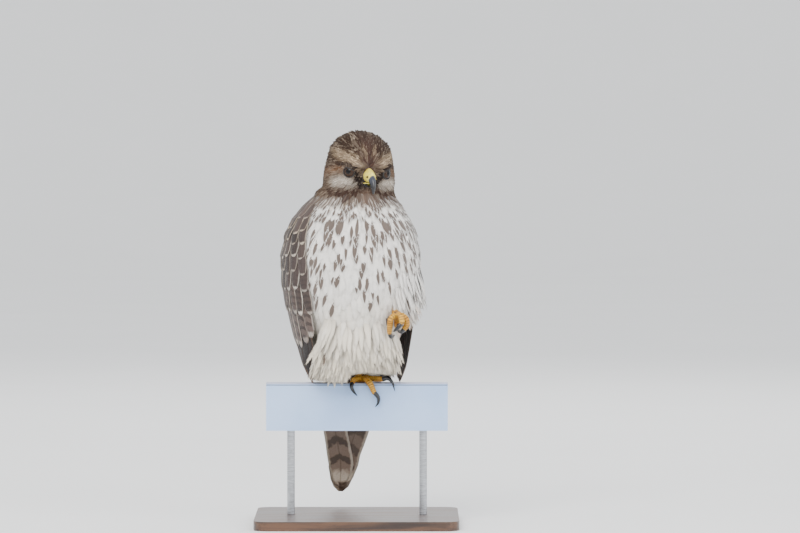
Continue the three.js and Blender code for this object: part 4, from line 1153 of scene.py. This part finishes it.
def makeQuillMaterial():
    net = Net("flight_plumage")
    (ground, barShare), (edgeColour, random) = net.painted("plume"), net.painted("rim")
    along, side = net.onMap("feather")
    across = net.times(net.maths("ABSOLUTE", net.minus(side, 0.5)), 2.0)
    mottle, fine = net.noise(net.place(), 160.0, 3.0), net.noise(net.place(), 900.0, 2.0)
    bent = net.plus(along, net.times(mottle, 0.06))
    slant = net.minus(bent, net.times(across, 0.05))
    phase = net.plus(net.times(slant, 46.0), net.times(random, 6.0))
    bars = net.times(net.ramp(net.maths("SINE", phase), 0.0, 0.6), barShare)
    dark = net.blend(1.0, ground, np.array([0.36, 0.34, 0.33]), "MULTIPLY")
    colour = net.blend(bars, ground, dark)
    tip = net.ramp(net.plus(along, net.times(mottle, 0.08)), 0.915, 0.97)
    margin = net.ramp(net.plus(across, net.times(mottle, 0.22)), 0.84, 1.02)
    colour = net.blend(net.times(net.maths("MAXIMUM", tip, margin), 0.8), colour, edgeColour)
    shaft = net.ramp(across, 0.03, 0.07, 0.55, 0.0)
    colour = net.blend(shaft, colour, dark)
    barbs = net.plus(net.times(along, 330.0), net.times(across, -130.0))
    lines = net.maths("SINE", barbs)
    shade = net.times(net.ramp(fine, 0.2, 0.8, 0.84, 1.1), net.ramp(lines, -1, 1, 0.9, 1.04))
    height = net.minus(net.times(lines, 0.6), net.times(shaft, 1.5))
    return net.finish(
        net.shaded(colour, shade), 0.62, (height, 0.35, 0.0003), Specular_IOR_Level=0.32, Sheen_Weight=0.12,
    )


quillMaterial = makeQuillMaterial()
for side, plan in wingPlan.items():
    buildWing(side, plan)
buildTail()


def gridMaps(t, angle, ends=(0, 1)):  # maps for a loft's rings and its two poles
    places = np.stack(np.broadcast_arrays(t[:, None], angle[None] / (2 * np.pi)), -1).reshape(-1, 2)
    return np.vstack([places, [[ends[0], 0.5]], [[ends[1], 0.5]]])


# Eyes: a wet ball with the clear front standing slightly proud, and the dark lids round it
sideName = {-1: "right", 1: "left"}
lidSection = (  # degrees outside the opening, and mm from the eye's middle
    (0.0, 9.4), (-0.8, 9.9), (0.8, 10.55), (4.0, 10.7), (8.5, 10.3), (14.0, 9.7), (15.0, 9.0), (6.0, 9.0),
)


def buildEye(side):
    polar, azimuth = np.linspace(3, 177, 44), np.linspace(0, 2 * np.pi, 48, endpoint=False)
    p, a = np.meshgrid(polar, azimuth, indexing="ij")
    size, proud, look = eyePlan["radius"], 0.5, eyeLook(side)
    rings = onEye(side, p, a, size + proud * smoothStep(48, 20, p))
    points, faces = loftRings(rings, eyeSpot(side) + look * (size + proud), eyeSpot(side) - look * size)
    piece = headMesh(f"eyeball_{sideName[side]}", points, faces, {"iris": gridMaps(polar / 180, azimuth)})
    settle(piece, eyeMaterial, "eye", f"eye_{sideName[side]}")


def buildLids(side):
    azimuth = np.linspace(0, 2 * np.pi, 64, endpoint=False)
    inner = lidAngle(azimuth)
    crease = 0.12 * np.sin(azimuth * 22)
    rings = [onEye(side, inner + turn, azimuth, radius + crease * (2 < turn < 20)) for turn, radius in lidSection]
    points = np.vstack(rings)
    spot = wrapped(np.arange(len(points)).reshape(len(lidSection), -1))
    faces = cells(np.vstack([spot, spot[:1]]))
    settle(headMesh(f"eyelids_{sideName[side]}", points, outwardFaces(points, faces)), lidMaterial, "eye")


def makeEyeMaterial():
    net = Net("wet_eye")
    down, azimuth = net.onMap("iris")
    polar, circle = net.times(down, 180.0), net.times(azimuth, 2 * math.pi)
    spokes = [net.times(net.maths(kind, circle), 3.0) for kind in ("COSINE", "SINE")]
    ring = net.put("CombineXYZ", {0: spokes[0], 1: spokes[1], 2: net.times(polar, 0.05)})
    rays = net.noise(ring.outputs[0], 5.0, 3.0)
    # the iris's own brown, with its colours darkened overall as painted shade from the brow
    iris = net.blend(net.ramp(rays, 0.3, 0.7), (26, 15, 9), (66, 42, 22))
    iris = net.blend(net.ramp(polar, 22, 44), net.blend(0.5, iris, (40, 26, 16)), iris)
    colour = net.blend(net.ramp(polar, 42, 50), iris, (26, 18, 14))
    colour = net.blend(net.ramp(polar, 18.5, 21.5, 1.0, 0.0), colour, (6, 5, 6))
    return net.finish(colour, 0.08, Specular_IOR_Level=0.15, Coat_Weight=0.2, Coat_Roughness=0.03)


def makeLidMaterial():
    net = Net("lid_skin")
    grain = net.noise(net.place(), 1500.0, 3.0)
    return net.finish(net.blend(net.ramp(grain, 0.3, 0.7), (13, 11, 11), (34, 27, 25)), 0.55, (grain, 0.5, 0.0003))


eyeMaterial, lidMaterial = makeEyeMaterial(), makeLidMaterial()
for side in (-1, 1):
    buildEye(side)
    buildLids(side)

# Bill: the same hooked loft as the solids, finer, with the soft yellow cere over its root
billPlan = {"length": 24.0, "width": 13.0, "depth": 17.0, "drop": 21.0, "cere": 0.42}
nostril = {"along": 0.8, "angle": 6, "wide": 1.3, "deep": 0.5}


def billRings(first, last, steps, sides, grow, profile=None):
    t = np.linspace(first, last, steps)
    sweep = smoothStep(0, 1, t) * 0.35 + t * 0.65
    y = -40 - billPlan["length"] * np.sin(sweep * 1.72) * 1.02
    z = -11 - billPlan["drop"] * (1 - np.cos(sweep * 1.72)) * 0.98
    grow = grow * (profile(np.linspace(0, 1, steps)) if profile else np.ones(steps))
    half = billPlan["width"] / 2 * (1 - 0.86 * t**1.5) + grow
    up = billPlan["depth"] / 2 * (1 - 0.88 * t**1.25) + grow
    lean = -sweep * 1.25
    angle = np.linspace(0, 2 * np.pi, sides, endpoint=False)
    rise = np.sin(angle)[None] * up[:, None]
    pinch = np.where(np.sin(angle) > 0, 1 - 0.3 * np.sin(angle), 1)
    return np.stack([
        np.cos(angle)[None] * half[:, None] * pinch,
        y[:, None] + rise * np.sin(lean)[:, None],
        z[:, None] + rise * np.cos(lean)[:, None],
    ], -1), t, angle


def billPiece(name, rings, t, angle, material, slotName, *replaced, dents=None):
    points, faces = loftRings(rings, rings[0].mean(0), rings[-1].mean(0))
    nostrilShadeMask = np.zeros(len(points))
    if dents:
        for side in (-1, 1):
            row = rings[int(dents["along"] * (len(rings) - 1))]
            centre = row[int(dents["angle"] / 360 * len(row))] * np.array([side, 1, 1])
            away = (points - centre) / np.array([1.8, 2.4, 1.3]) / dents["wide"]
            near = np.exp(-(np.linalg.norm(away, axis=1) ** 2))
            points[:, 0] -= side * dents["deep"] * near
            points[:, 0] += side * 0.3 * (np.exp(-(np.linalg.norm(away / 1.9, axis=1) ** 2)) - near)
            nostrilShadeMask = np.maximum(nostrilShadeMask, near)
    # the mark attribute carries painted shade: the shallow nostril dents are painted dark, as the shadow inside deep
    # openings
    tints = {"mark": np.column_stack([nostrilShadeMask, nostrilShadeMask, nostrilShadeMask, np.ones(len(points))])}
    settle(headMesh(name, points, faces, {"horn": gridMaps(t, angle)}, tints), material, slotName, *replaced)


def makeHorn(name, root, middle, tip, gloss):
    net = Net(name)
    down, turn = net.onMap("horn")
    cloud = net.noise(net.place(), 420.0, 4.0)
    t = net.plus(down, net.times(net.minus(cloud, 0.5), 0.16))
    colour = net.blend(net.ramp(t, 0.12, 0.5), root, middle)
    colour = net.blend(net.ramp(t, 0.4, 0.74), colour, tip)
    grainPlace = {0: net.times(down, 2.0), 1: net.times(turn, 34.0)}
    streaks = net.noise(net.put("CombineXYZ", grainPlace).outputs[0], 2.5, 3.0)
    return net.finish(
        net.shaded(colour, net.ramp(streaks, 0.3, 0.7, 0.8, 1.15)),
        net.ramp(streaks, 0.3, 0.7, gloss, gloss + 0.14), (streaks, 0.25, 0.0004),
        Coat_Weight=0.35, Coat_Roughness=0.2,
    )


def makeCere():
    net = Net("waxy_cere")
    nostrilShade = net.put("SeparateColor", {0: net.painted("mark")[0]}).outputs[0]
    cloud = net.noise(net.place(), 260.0, 4.0)
    colour = net.blend(net.ramp(cloud, 0.3, 0.72), (214, 192, 66), (240, 224, 112))
    # painted shade: the nostrils are darkened as the shadow inside their openings
    colour = net.blend(net.ramp(nostrilShade, 0.3, 0.55), colour, (52, 38, 26))
    grain = net.put("TexVoronoi", {"Vector": net.place(), "Scale": 1600.0}).outputs["Distance"]
    return net.finish(
        colour, 0.42, (grain, 0.18, 0.0002), Subsurface_Weight=0.12, Subsurface_Radius=(0.002, 0.0012, 0.0006),
    )


hornMaterial = makeHorn("bill_horn", (98, 112, 136), (42, 48, 64), (14, 14, 18), 0.26)
clawMaterial = makeHorn("claw_horn", (34, 34, 38), (18, 18, 22), (14, 14, 16), 0.24)
cereMaterial = makeCere()
rings, t, angle = billRings(0.3, 1.0, 46, 40, 0.0)
rings[..., 2] -= 0.35 * bump(t - 0.66, 0.05)[:, None] * (np.sin(angle) < -0.4)[None]  # tooth on the cutting edge
billPiece("upper_bill", rings, t, angle, hornMaterial, "horn", "bill_upper")
rings, t, angle = billRings(
    0.0, billPlan["cere"] + 0.012, 40, 64, 0.75, lambda x: 1 - 0.85 * smoothStep(0.86, 1.0, x),
)
billPiece("cere_skin", rings, t, angle, cereMaterial, "cere", "cere", dents=nostril)
lipLine = [(3.4, -55.0, -21.8), (4.6, -50.5, -21.3), (5.6, -46.5, -21.2), (7.0, -42, -21.4)]
for side in (-1, 1):
    lip = tube([(side * x, y, z) for x, y, z in lipLine], [0.3, 0.6, 0.8, 0.6], 14, 24, (0, 0, 1), flat=0.8)
    settle(headMesh(f"gape_{sideName[side]}", *lip), cereMaterial, "cere")
t, angle = np.linspace(0, 1, 26), np.linspace(0, 2 * np.pi, 28, endpoint=False)
half, deep = 5.4 + (2.0 - 5.4) * t**1.4, 3.4 + (1.2 - 3.4) * t
centre = np.stack([0 * t, -34 + (-57 + 34) * t, -22.5 - 3.5 * t], -1)
ring = np.stack([np.cos(angle) * half[:, None], 0 * (t[:, None] + angle), np.sin(angle) * deep[:, None]], -1)
points, faces = loftRings(centre[:, None] + ring, centre[0] + (0, 1, 0), centre[-1] + (0, -1.4, 0.2))
lower = headMesh("lower_bill", points, faces, {"horn": gridMaps(t * 0.6 + 0.3, angle)})
settle(lower, hornMaterial, "horn", "bill_lower")
print("head pieces made")

# Feet: toes, pad and shank as one skin with raised scutes along the top
railFoot = {  # each toe: the way its top faces, its scale, its course and its claw's
    "pad": (9, 1, 6.2),
    "toes": {
        "hallux": (
            (0, 0.5, 1), 1.0,
            [(8, 5, 5.2), (5, 12, 5), (3.5, 17.6, 1), (3.2, 18.4, -7)],
            [(3.2, 18.6, -7), (3.2, 20.5, -14), (3.4, 19.5, -22), (3.8, 15.5, -28)],
        ),
        "inner": (
            (0, -0.3, 1), 1.0,
            [(12, -1, 5.6), (20, -5, 5), (28, -9, 5), (34, -12, 5)],
            [(33.5, -12, 5), (40, -15.5, 6.5), (46, -18, 1), (49, -18, -10)],
        ),
        "middle": (
            (0, -1, 0.7), 1.02,
            [(10, -5, 5.6), (13, -13, 4.8), (17.5, -18, -1.5), (23, -18, -13)],
            [(22.5, -18, -12), (27.5, -19.5, -18), (27.6, -18.5, -25), (23.9, -16, -31)],
        ),
        "outer": (
            (0, -0.6, 1), 0.95,
            [(6, -3, 5.4), (0, -8, 4.8), (-4, -13, 4.2), (-6.4, -17.4, 0)],
            [(-6, -17, 0.5), (-7, -20, -5), (-4, -19.5, -11), (0.4, -16.4, -16.4)],
        ),
    },
}
fistFoot = {
    "pad": (44, -72, 90),
    "toes": {
        "outer": (
            (0, -1, 0.6), 1.0,
            [(48, -74, 91), (54, -77, 86), (55.5, -75, 78), (52, -72, 72)],
            [(52.6, -72.4, 72.6), (48.5, -73, 69), (45, -72, 70.5), (43, -70.6, 73.5)],
        ),
        "middle": (
            (0, -1, 0.8), 1.02,
            [(44, -76, 92), (46, -83, 90), (47, -86, 84), (46.5, -85, 80.5)],
            [(46.6, -85, 81), (43, -85.5, 76), (38.5, -84, 71.5), (36.5, -80.5, 69.6)],
        ),
        "inner": (
            (-0.4, -1, 0.6), 1.0,
            [(40, -74, 91), (34.5, -77, 86), (33.5, -75, 78), (33.5, -71, 67)],
            [(33.5, -71.4, 68), (35.5, -68, 63), (39, -64.5, 62.5), (42, -62.5, 64.5)],
        ),
        "hallux": (
            (0.4, 0.4, -1), 0.95,
            [(43, -69, 86), (43.5, -68, 81), (43.5, -69.5, 77.5), (44.5, -73.5, 76.6)],
            [(44.4, -73, 76.6), (45.2, -77, 77.5), (45.6, -80, 79.6), (45.2, -80.6, 82)],
        ),
    },
}
toePlan = {"radius": 3.9, "tip": 3.1, "claw": 2.7, "voxel": 0.0006, "scute": 2.7, "shankScute": 3.6}
toBirdFromRail = birdMatrix.inverted() @ railMatrix


def spine(path, up, spacing):  # the line along a toe's top, and how many scutes lie before each place
    middle, _, _, top = pathFrame(path, 60, up)
    length = np.concatenate([[0], np.cumsum(np.linalg.norm(np.diff(middle, axis=0), axis=1))])
    return middle, top, length / spacing


def footPart(name, foot, turn, shank, shankUp, side):
    parts, spines = [], []
    clawMaps = gridMaps(np.linspace(0.2, 1, 30), np.linspace(0, 2 * np.pi, 18), (0.2, 1))
    for digit, (up, scale, path, claw) in foot["toes"].items():
        path, claw = moved(np.array(path, float), turn), moved(np.array(claw, float), turn)
        up = np.array(turn)[:3, :3] @ np.array(up, float)
        radii = [toePlan["radius"] * scale * f for f in (1, 0.95, 0.98, 1.0, 0.95)] + [toePlan["tip"] * scale]
        parts.append(tube(path, radii, 18, 22, up))
        spines.append(spine(path, up, toePlan["scute"]))
        thick = toePlan["claw"] * scale * np.array([1.02, 1.0, 0.93, 0.8, 0.62, 0.38, 0.12])
        points, faces = tube(claw, thick, 18, 30, up, flat=1.15)
        talon = makeMesh(f"talon_{side}_{digit}", toWorld(points), faces, {"horn": clawMaps})
        settle(talon, clawMaterial, "horn", f"claw_{side}_{digit}")
    parts.append(ball(moved(np.array([foot["pad"]], float), turn)[0], (6.6, 7.0, 5.8), 24, 14, 1.45))
    parts.append(tube(shank, [5.4, 5.2, 5.2, 5.5], 20, 20, shankUp))
    spines.append(spine(shank, shankUp, toePlan["shankScute"]))
    points, faces = joined(parts)
    piece = makeMesh(name, toWorld(points), faces)
    points, faces, normals = closedSkin(piece, toePlan["voxel"], 5)
    place = toBird(points)
    middle, top, scute = [np.concatenate(part) for part in zip(*spines)]
    nearest, block = np.empty(len(place), int), 4000
    for start in range(0, len(place), block):
        near = place[start : start + block]
        nearest[start : start + block] = ((near[:, None] - middle[None]) ** 2).sum(-1).argmin(1)
    facing = (normals @ birdTurn * top[nearest]).sum(1)
    ridge = np.abs(np.sin(np.pi * scute[nearest]))
    onTop = smoothStep(0.15, 0.6, facing)
    groove = (1 - np.clip(ridge * 1.5, 0, 1)) * onTop
    setPoints(piece, points + normals * ((0.5 * (ridge**0.5 - 0.7) * onTop)[:, None] / 1000))
    under = smoothStep(-0.1, -0.6, facing)
    paintPoints(piece, "scales", np.column_stack([groove, onTop, under, np.ones(len(points))]))
    replaced = [f"foot_{side}", f"shank_{side}"] + [f"toe_{side}_{digit}" for digit in foot["toes"]]
    settle(piece, footMaterial, "foot_skin", *replaced)
    print(name, len(faces), "triangles")


def makeFootMaterial():
    net = Net("scaly_foot")
    groove, top, under = net.put("SeparateColor", {0: net.painted("scales")[0]}).outputs
    mesh = net.put("TexVoronoi", {"Vector": net.place(), "Scale": 560.0}, feature="DISTANCE_TO_EDGE")
    scale = net.ramp(mesh.outputs["Distance"], 0.0, 0.16)
    bare = net.minus(1.0, top)
    seams = net.times(net.times(net.minus(1.0, scale), bare), 0.8)
    cloud = net.noise(net.place(), 130.0, 4.0)
    colour = net.blend(net.ramp(cloud, 0.3, 0.7), (186, 126, 26), (216, 164, 52))
    colour = net.blend(net.times(under, 0.7), colour, (214, 142, 52))
    colour = net.blend(net.times(net.maths("MAXIMUM", groove, seams), 0.95), colour, (84, 50, 14))
    return net.finish(
        colour, 0.48, (net.minus(net.times(scale, bare), groove), 0.9, 0.0008),
        Subsurface_Weight=0.08, Subsurface_Radius=(0.002, 0.001, 0.0005),
    )


footMaterial = makeFootMaterial()
railShank = [(-9, 2, 34), (-5, 0.5, 24), (0, -1, 17), (9, -2, 6)]
fistShank = [(43, -46, 96), (43.5, -62, 93), (44, -71, 90)]
footPart("foot_skin_right", railFoot, toBirdFromRail, railShank, (0, -1, 0), "right")
footPart("foot_skin_left", fistFoot, Matrix.Identity(4), fistShank, (0, 0, 1), "left")


def makePaint():  # satin paint of the rail, with a dark seam under its top edge and light wear
    net = Net("rail_paint")
    place = net.place()
    height = net.times(net.put("SeparateXYZ", {0: place}).outputs[2], 1000.0)
    cloud = net.noise(place, 9.0, 4.0)
    colour = net.blend(net.ramp(cloud, 0.3, 0.7), (160, 190, 232), (182, 208, 246))
    colour = net.blend(net.ramp(height, 182.2, 183.0), colour, (176, 182, 204))
    wavy = net.plus(height, net.times(net.noise(place, 60.0), 0.5))
    seam = net.ramp(net.maths("ABSOLUTE", net.minus(wavy, 181.6)), 0.45, 1.0, 1.0, 0.0)
    colour = net.blend(net.times(seam, 0.75), colour, (76, 84, 108))
    colour = net.blend(net.ramp(net.noise(place, 420.0, 3.0), 0.62, 0.8, 0.0, 0.12), colour, (120, 124, 132))
    peel = net.minus(net.times(net.noise(place, 700.0, 2.0), 0.25), seam)
    return net.finish(colour, net.ramp(cloud, 0.3, 0.7, 0.34, 0.44), (peel, 0.35, 0.0004))


def makeBoard():
    net = Net("stained_board")
    grain = net.noise(net.place((1.0, 14.0, 14.0)), 9.0, 8.0, 0.6)
    pores = net.noise(net.place((4.0, 90.0, 90.0)), 12.0, 3.0)
    colour = net.blend(net.ramp(grain, 0.32, 0.68), (44, 28, 20), (92, 62, 42))
    colour = net.blend(net.ramp(pores, 0.56, 0.7, 0.0, 0.6), colour, (28, 18, 13))
    height = net.minus(grain, pores)
    return net.finish(colour, net.ramp(grain, 0.3, 0.7, 0.34, 0.46), (height, 0.2, 0.0004), Coat_Weight=0.25)


def makeSteel():
    net = Net("brushed_steel")
    lines = net.noise(net.place((40.0, 40.0, 900.0)), 3.0, 3.0)
    colour = net.blend(net.ramp(lines, 0.3, 0.7), (150, 152, 156), (196, 198, 202))
    return net.finish(colour, net.ramp(lines, 0.3, 0.7, 0.26, 0.42), (lines, 0.12, 0.0002), Metallic=1.0)


standLooks = {"perch_rail": makePaint(), "stand_base": makeBoard()}
standLooks["stand_rod_right"] = standLooks["stand_rod_left"] = makeSteel()
for name, material in standLooks.items():
    slots = nodes[name].data.materials
    slots.clear()
    slots.append(material)


# Camera, light and backdrop
cameraPlan = {"elevation": 2.0, "distance": 6.0, "spanMm": 1040.0, "centreX": 0.0559, "centreZ": 0.335}
cameraData = bpy.data.cameras.new("camera")
camera = bpy.data.objects.new("camera", cameraData)
bpy.context.collection.objects.link(camera)
bpy.context.scene.camera = camera
cameraData.sensor_width = 36.0
cameraData.lens = 36.0 * cameraPlan["distance"] / (cameraPlan["spanMm"] / 1000)
tilt = math.radians(cameraPlan["elevation"])
aim = Vector((cameraPlan["centreX"], 0, cameraPlan["centreZ"]))
camera.location = aim + Vector((0, -math.cos(tilt), math.sin(tilt))) * cameraPlan["distance"]
camera.rotation_euler = (math.pi / 2 - tilt, 0, 0)
cameraData.clip_end = 100


def areaLight(name, place, size, power, colour):
    data = bpy.data.lights.new(name, "AREA")
    data.size, data.energy, data.color = size, power, colour
    light = bpy.data.objects.new(name, data)
    light.location = place
    light.rotation_euler = (Vector((0, 0, 0.35)) - Vector(place)).to_track_quat("-Z", "Y").to_euler()
    bpy.context.collection.objects.link(light)


areaLight("key_light", (-0.9, -2.6, 2.6), 1.8, 118, (1.0, 0.98, 0.95))
areaLight("fill_light", (2.4, -2.2, 1.4), 2.2, 52, (0.95, 0.97, 1.0))
areaLight("rim_light", (0.4, 2.6, 2.2), 1.6, 36, (1.0, 1.0, 1.0))
world = bpy.data.worlds.new("studio")
bpy.context.scene.world = world
world.use_nodes = True
world.node_tree.nodes["Background"].inputs[0].default_value = (0.9, 0.92, 0.95, 1)
world.node_tree.nodes["Background"].inputs[1].default_value = 1.45

backdrop = {"floor": 9.0, "bend": 3.0, "height": 3.3}


def buildBackdrop():
    sides, bend = 96, np.linspace(0, np.pi / 2, 17)
    floor, curve = backdrop["floor"], backdrop["bend"]
    reach = np.concatenate([[0.5, 3], floor + curve * np.sin(bend), [floor + curve]])
    high = np.concatenate([[0, 0], curve * (1 - np.cos(bend)), [backdrop["height"]]])
    turn = np.linspace(0, 2 * np.pi, sides, endpoint=False)
    rings = np.stack([reach[:, None] * np.cos(turn), reach[:, None] * np.sin(turn), high[:, None] + 0 * turn], -1)
    points = np.vstack([rings.reshape(-1, 3), [[0, 0, 0]]])
    spot = wrapped(np.arange(len(points) - 1).reshape(-1, sides))
    faces = np.vstack([cells(spot), np.stack([np.full(sides, len(points) - 1), spot[0, 1:], spot[0, :-1]], -1)])
    piece = makeMesh("backdrop", points, faces[:, ::-1])
    net = Net("pale_backdrop")
    colour = net.blend(net.noise(net.place(), 3.0, 3.0), np.array([0.86, 0.86, 0.85]), np.array([0.9, 0.9, 0.89]))
    piece.data.materials.append(net.finish(colour, 0.85))


buildBackdrop()
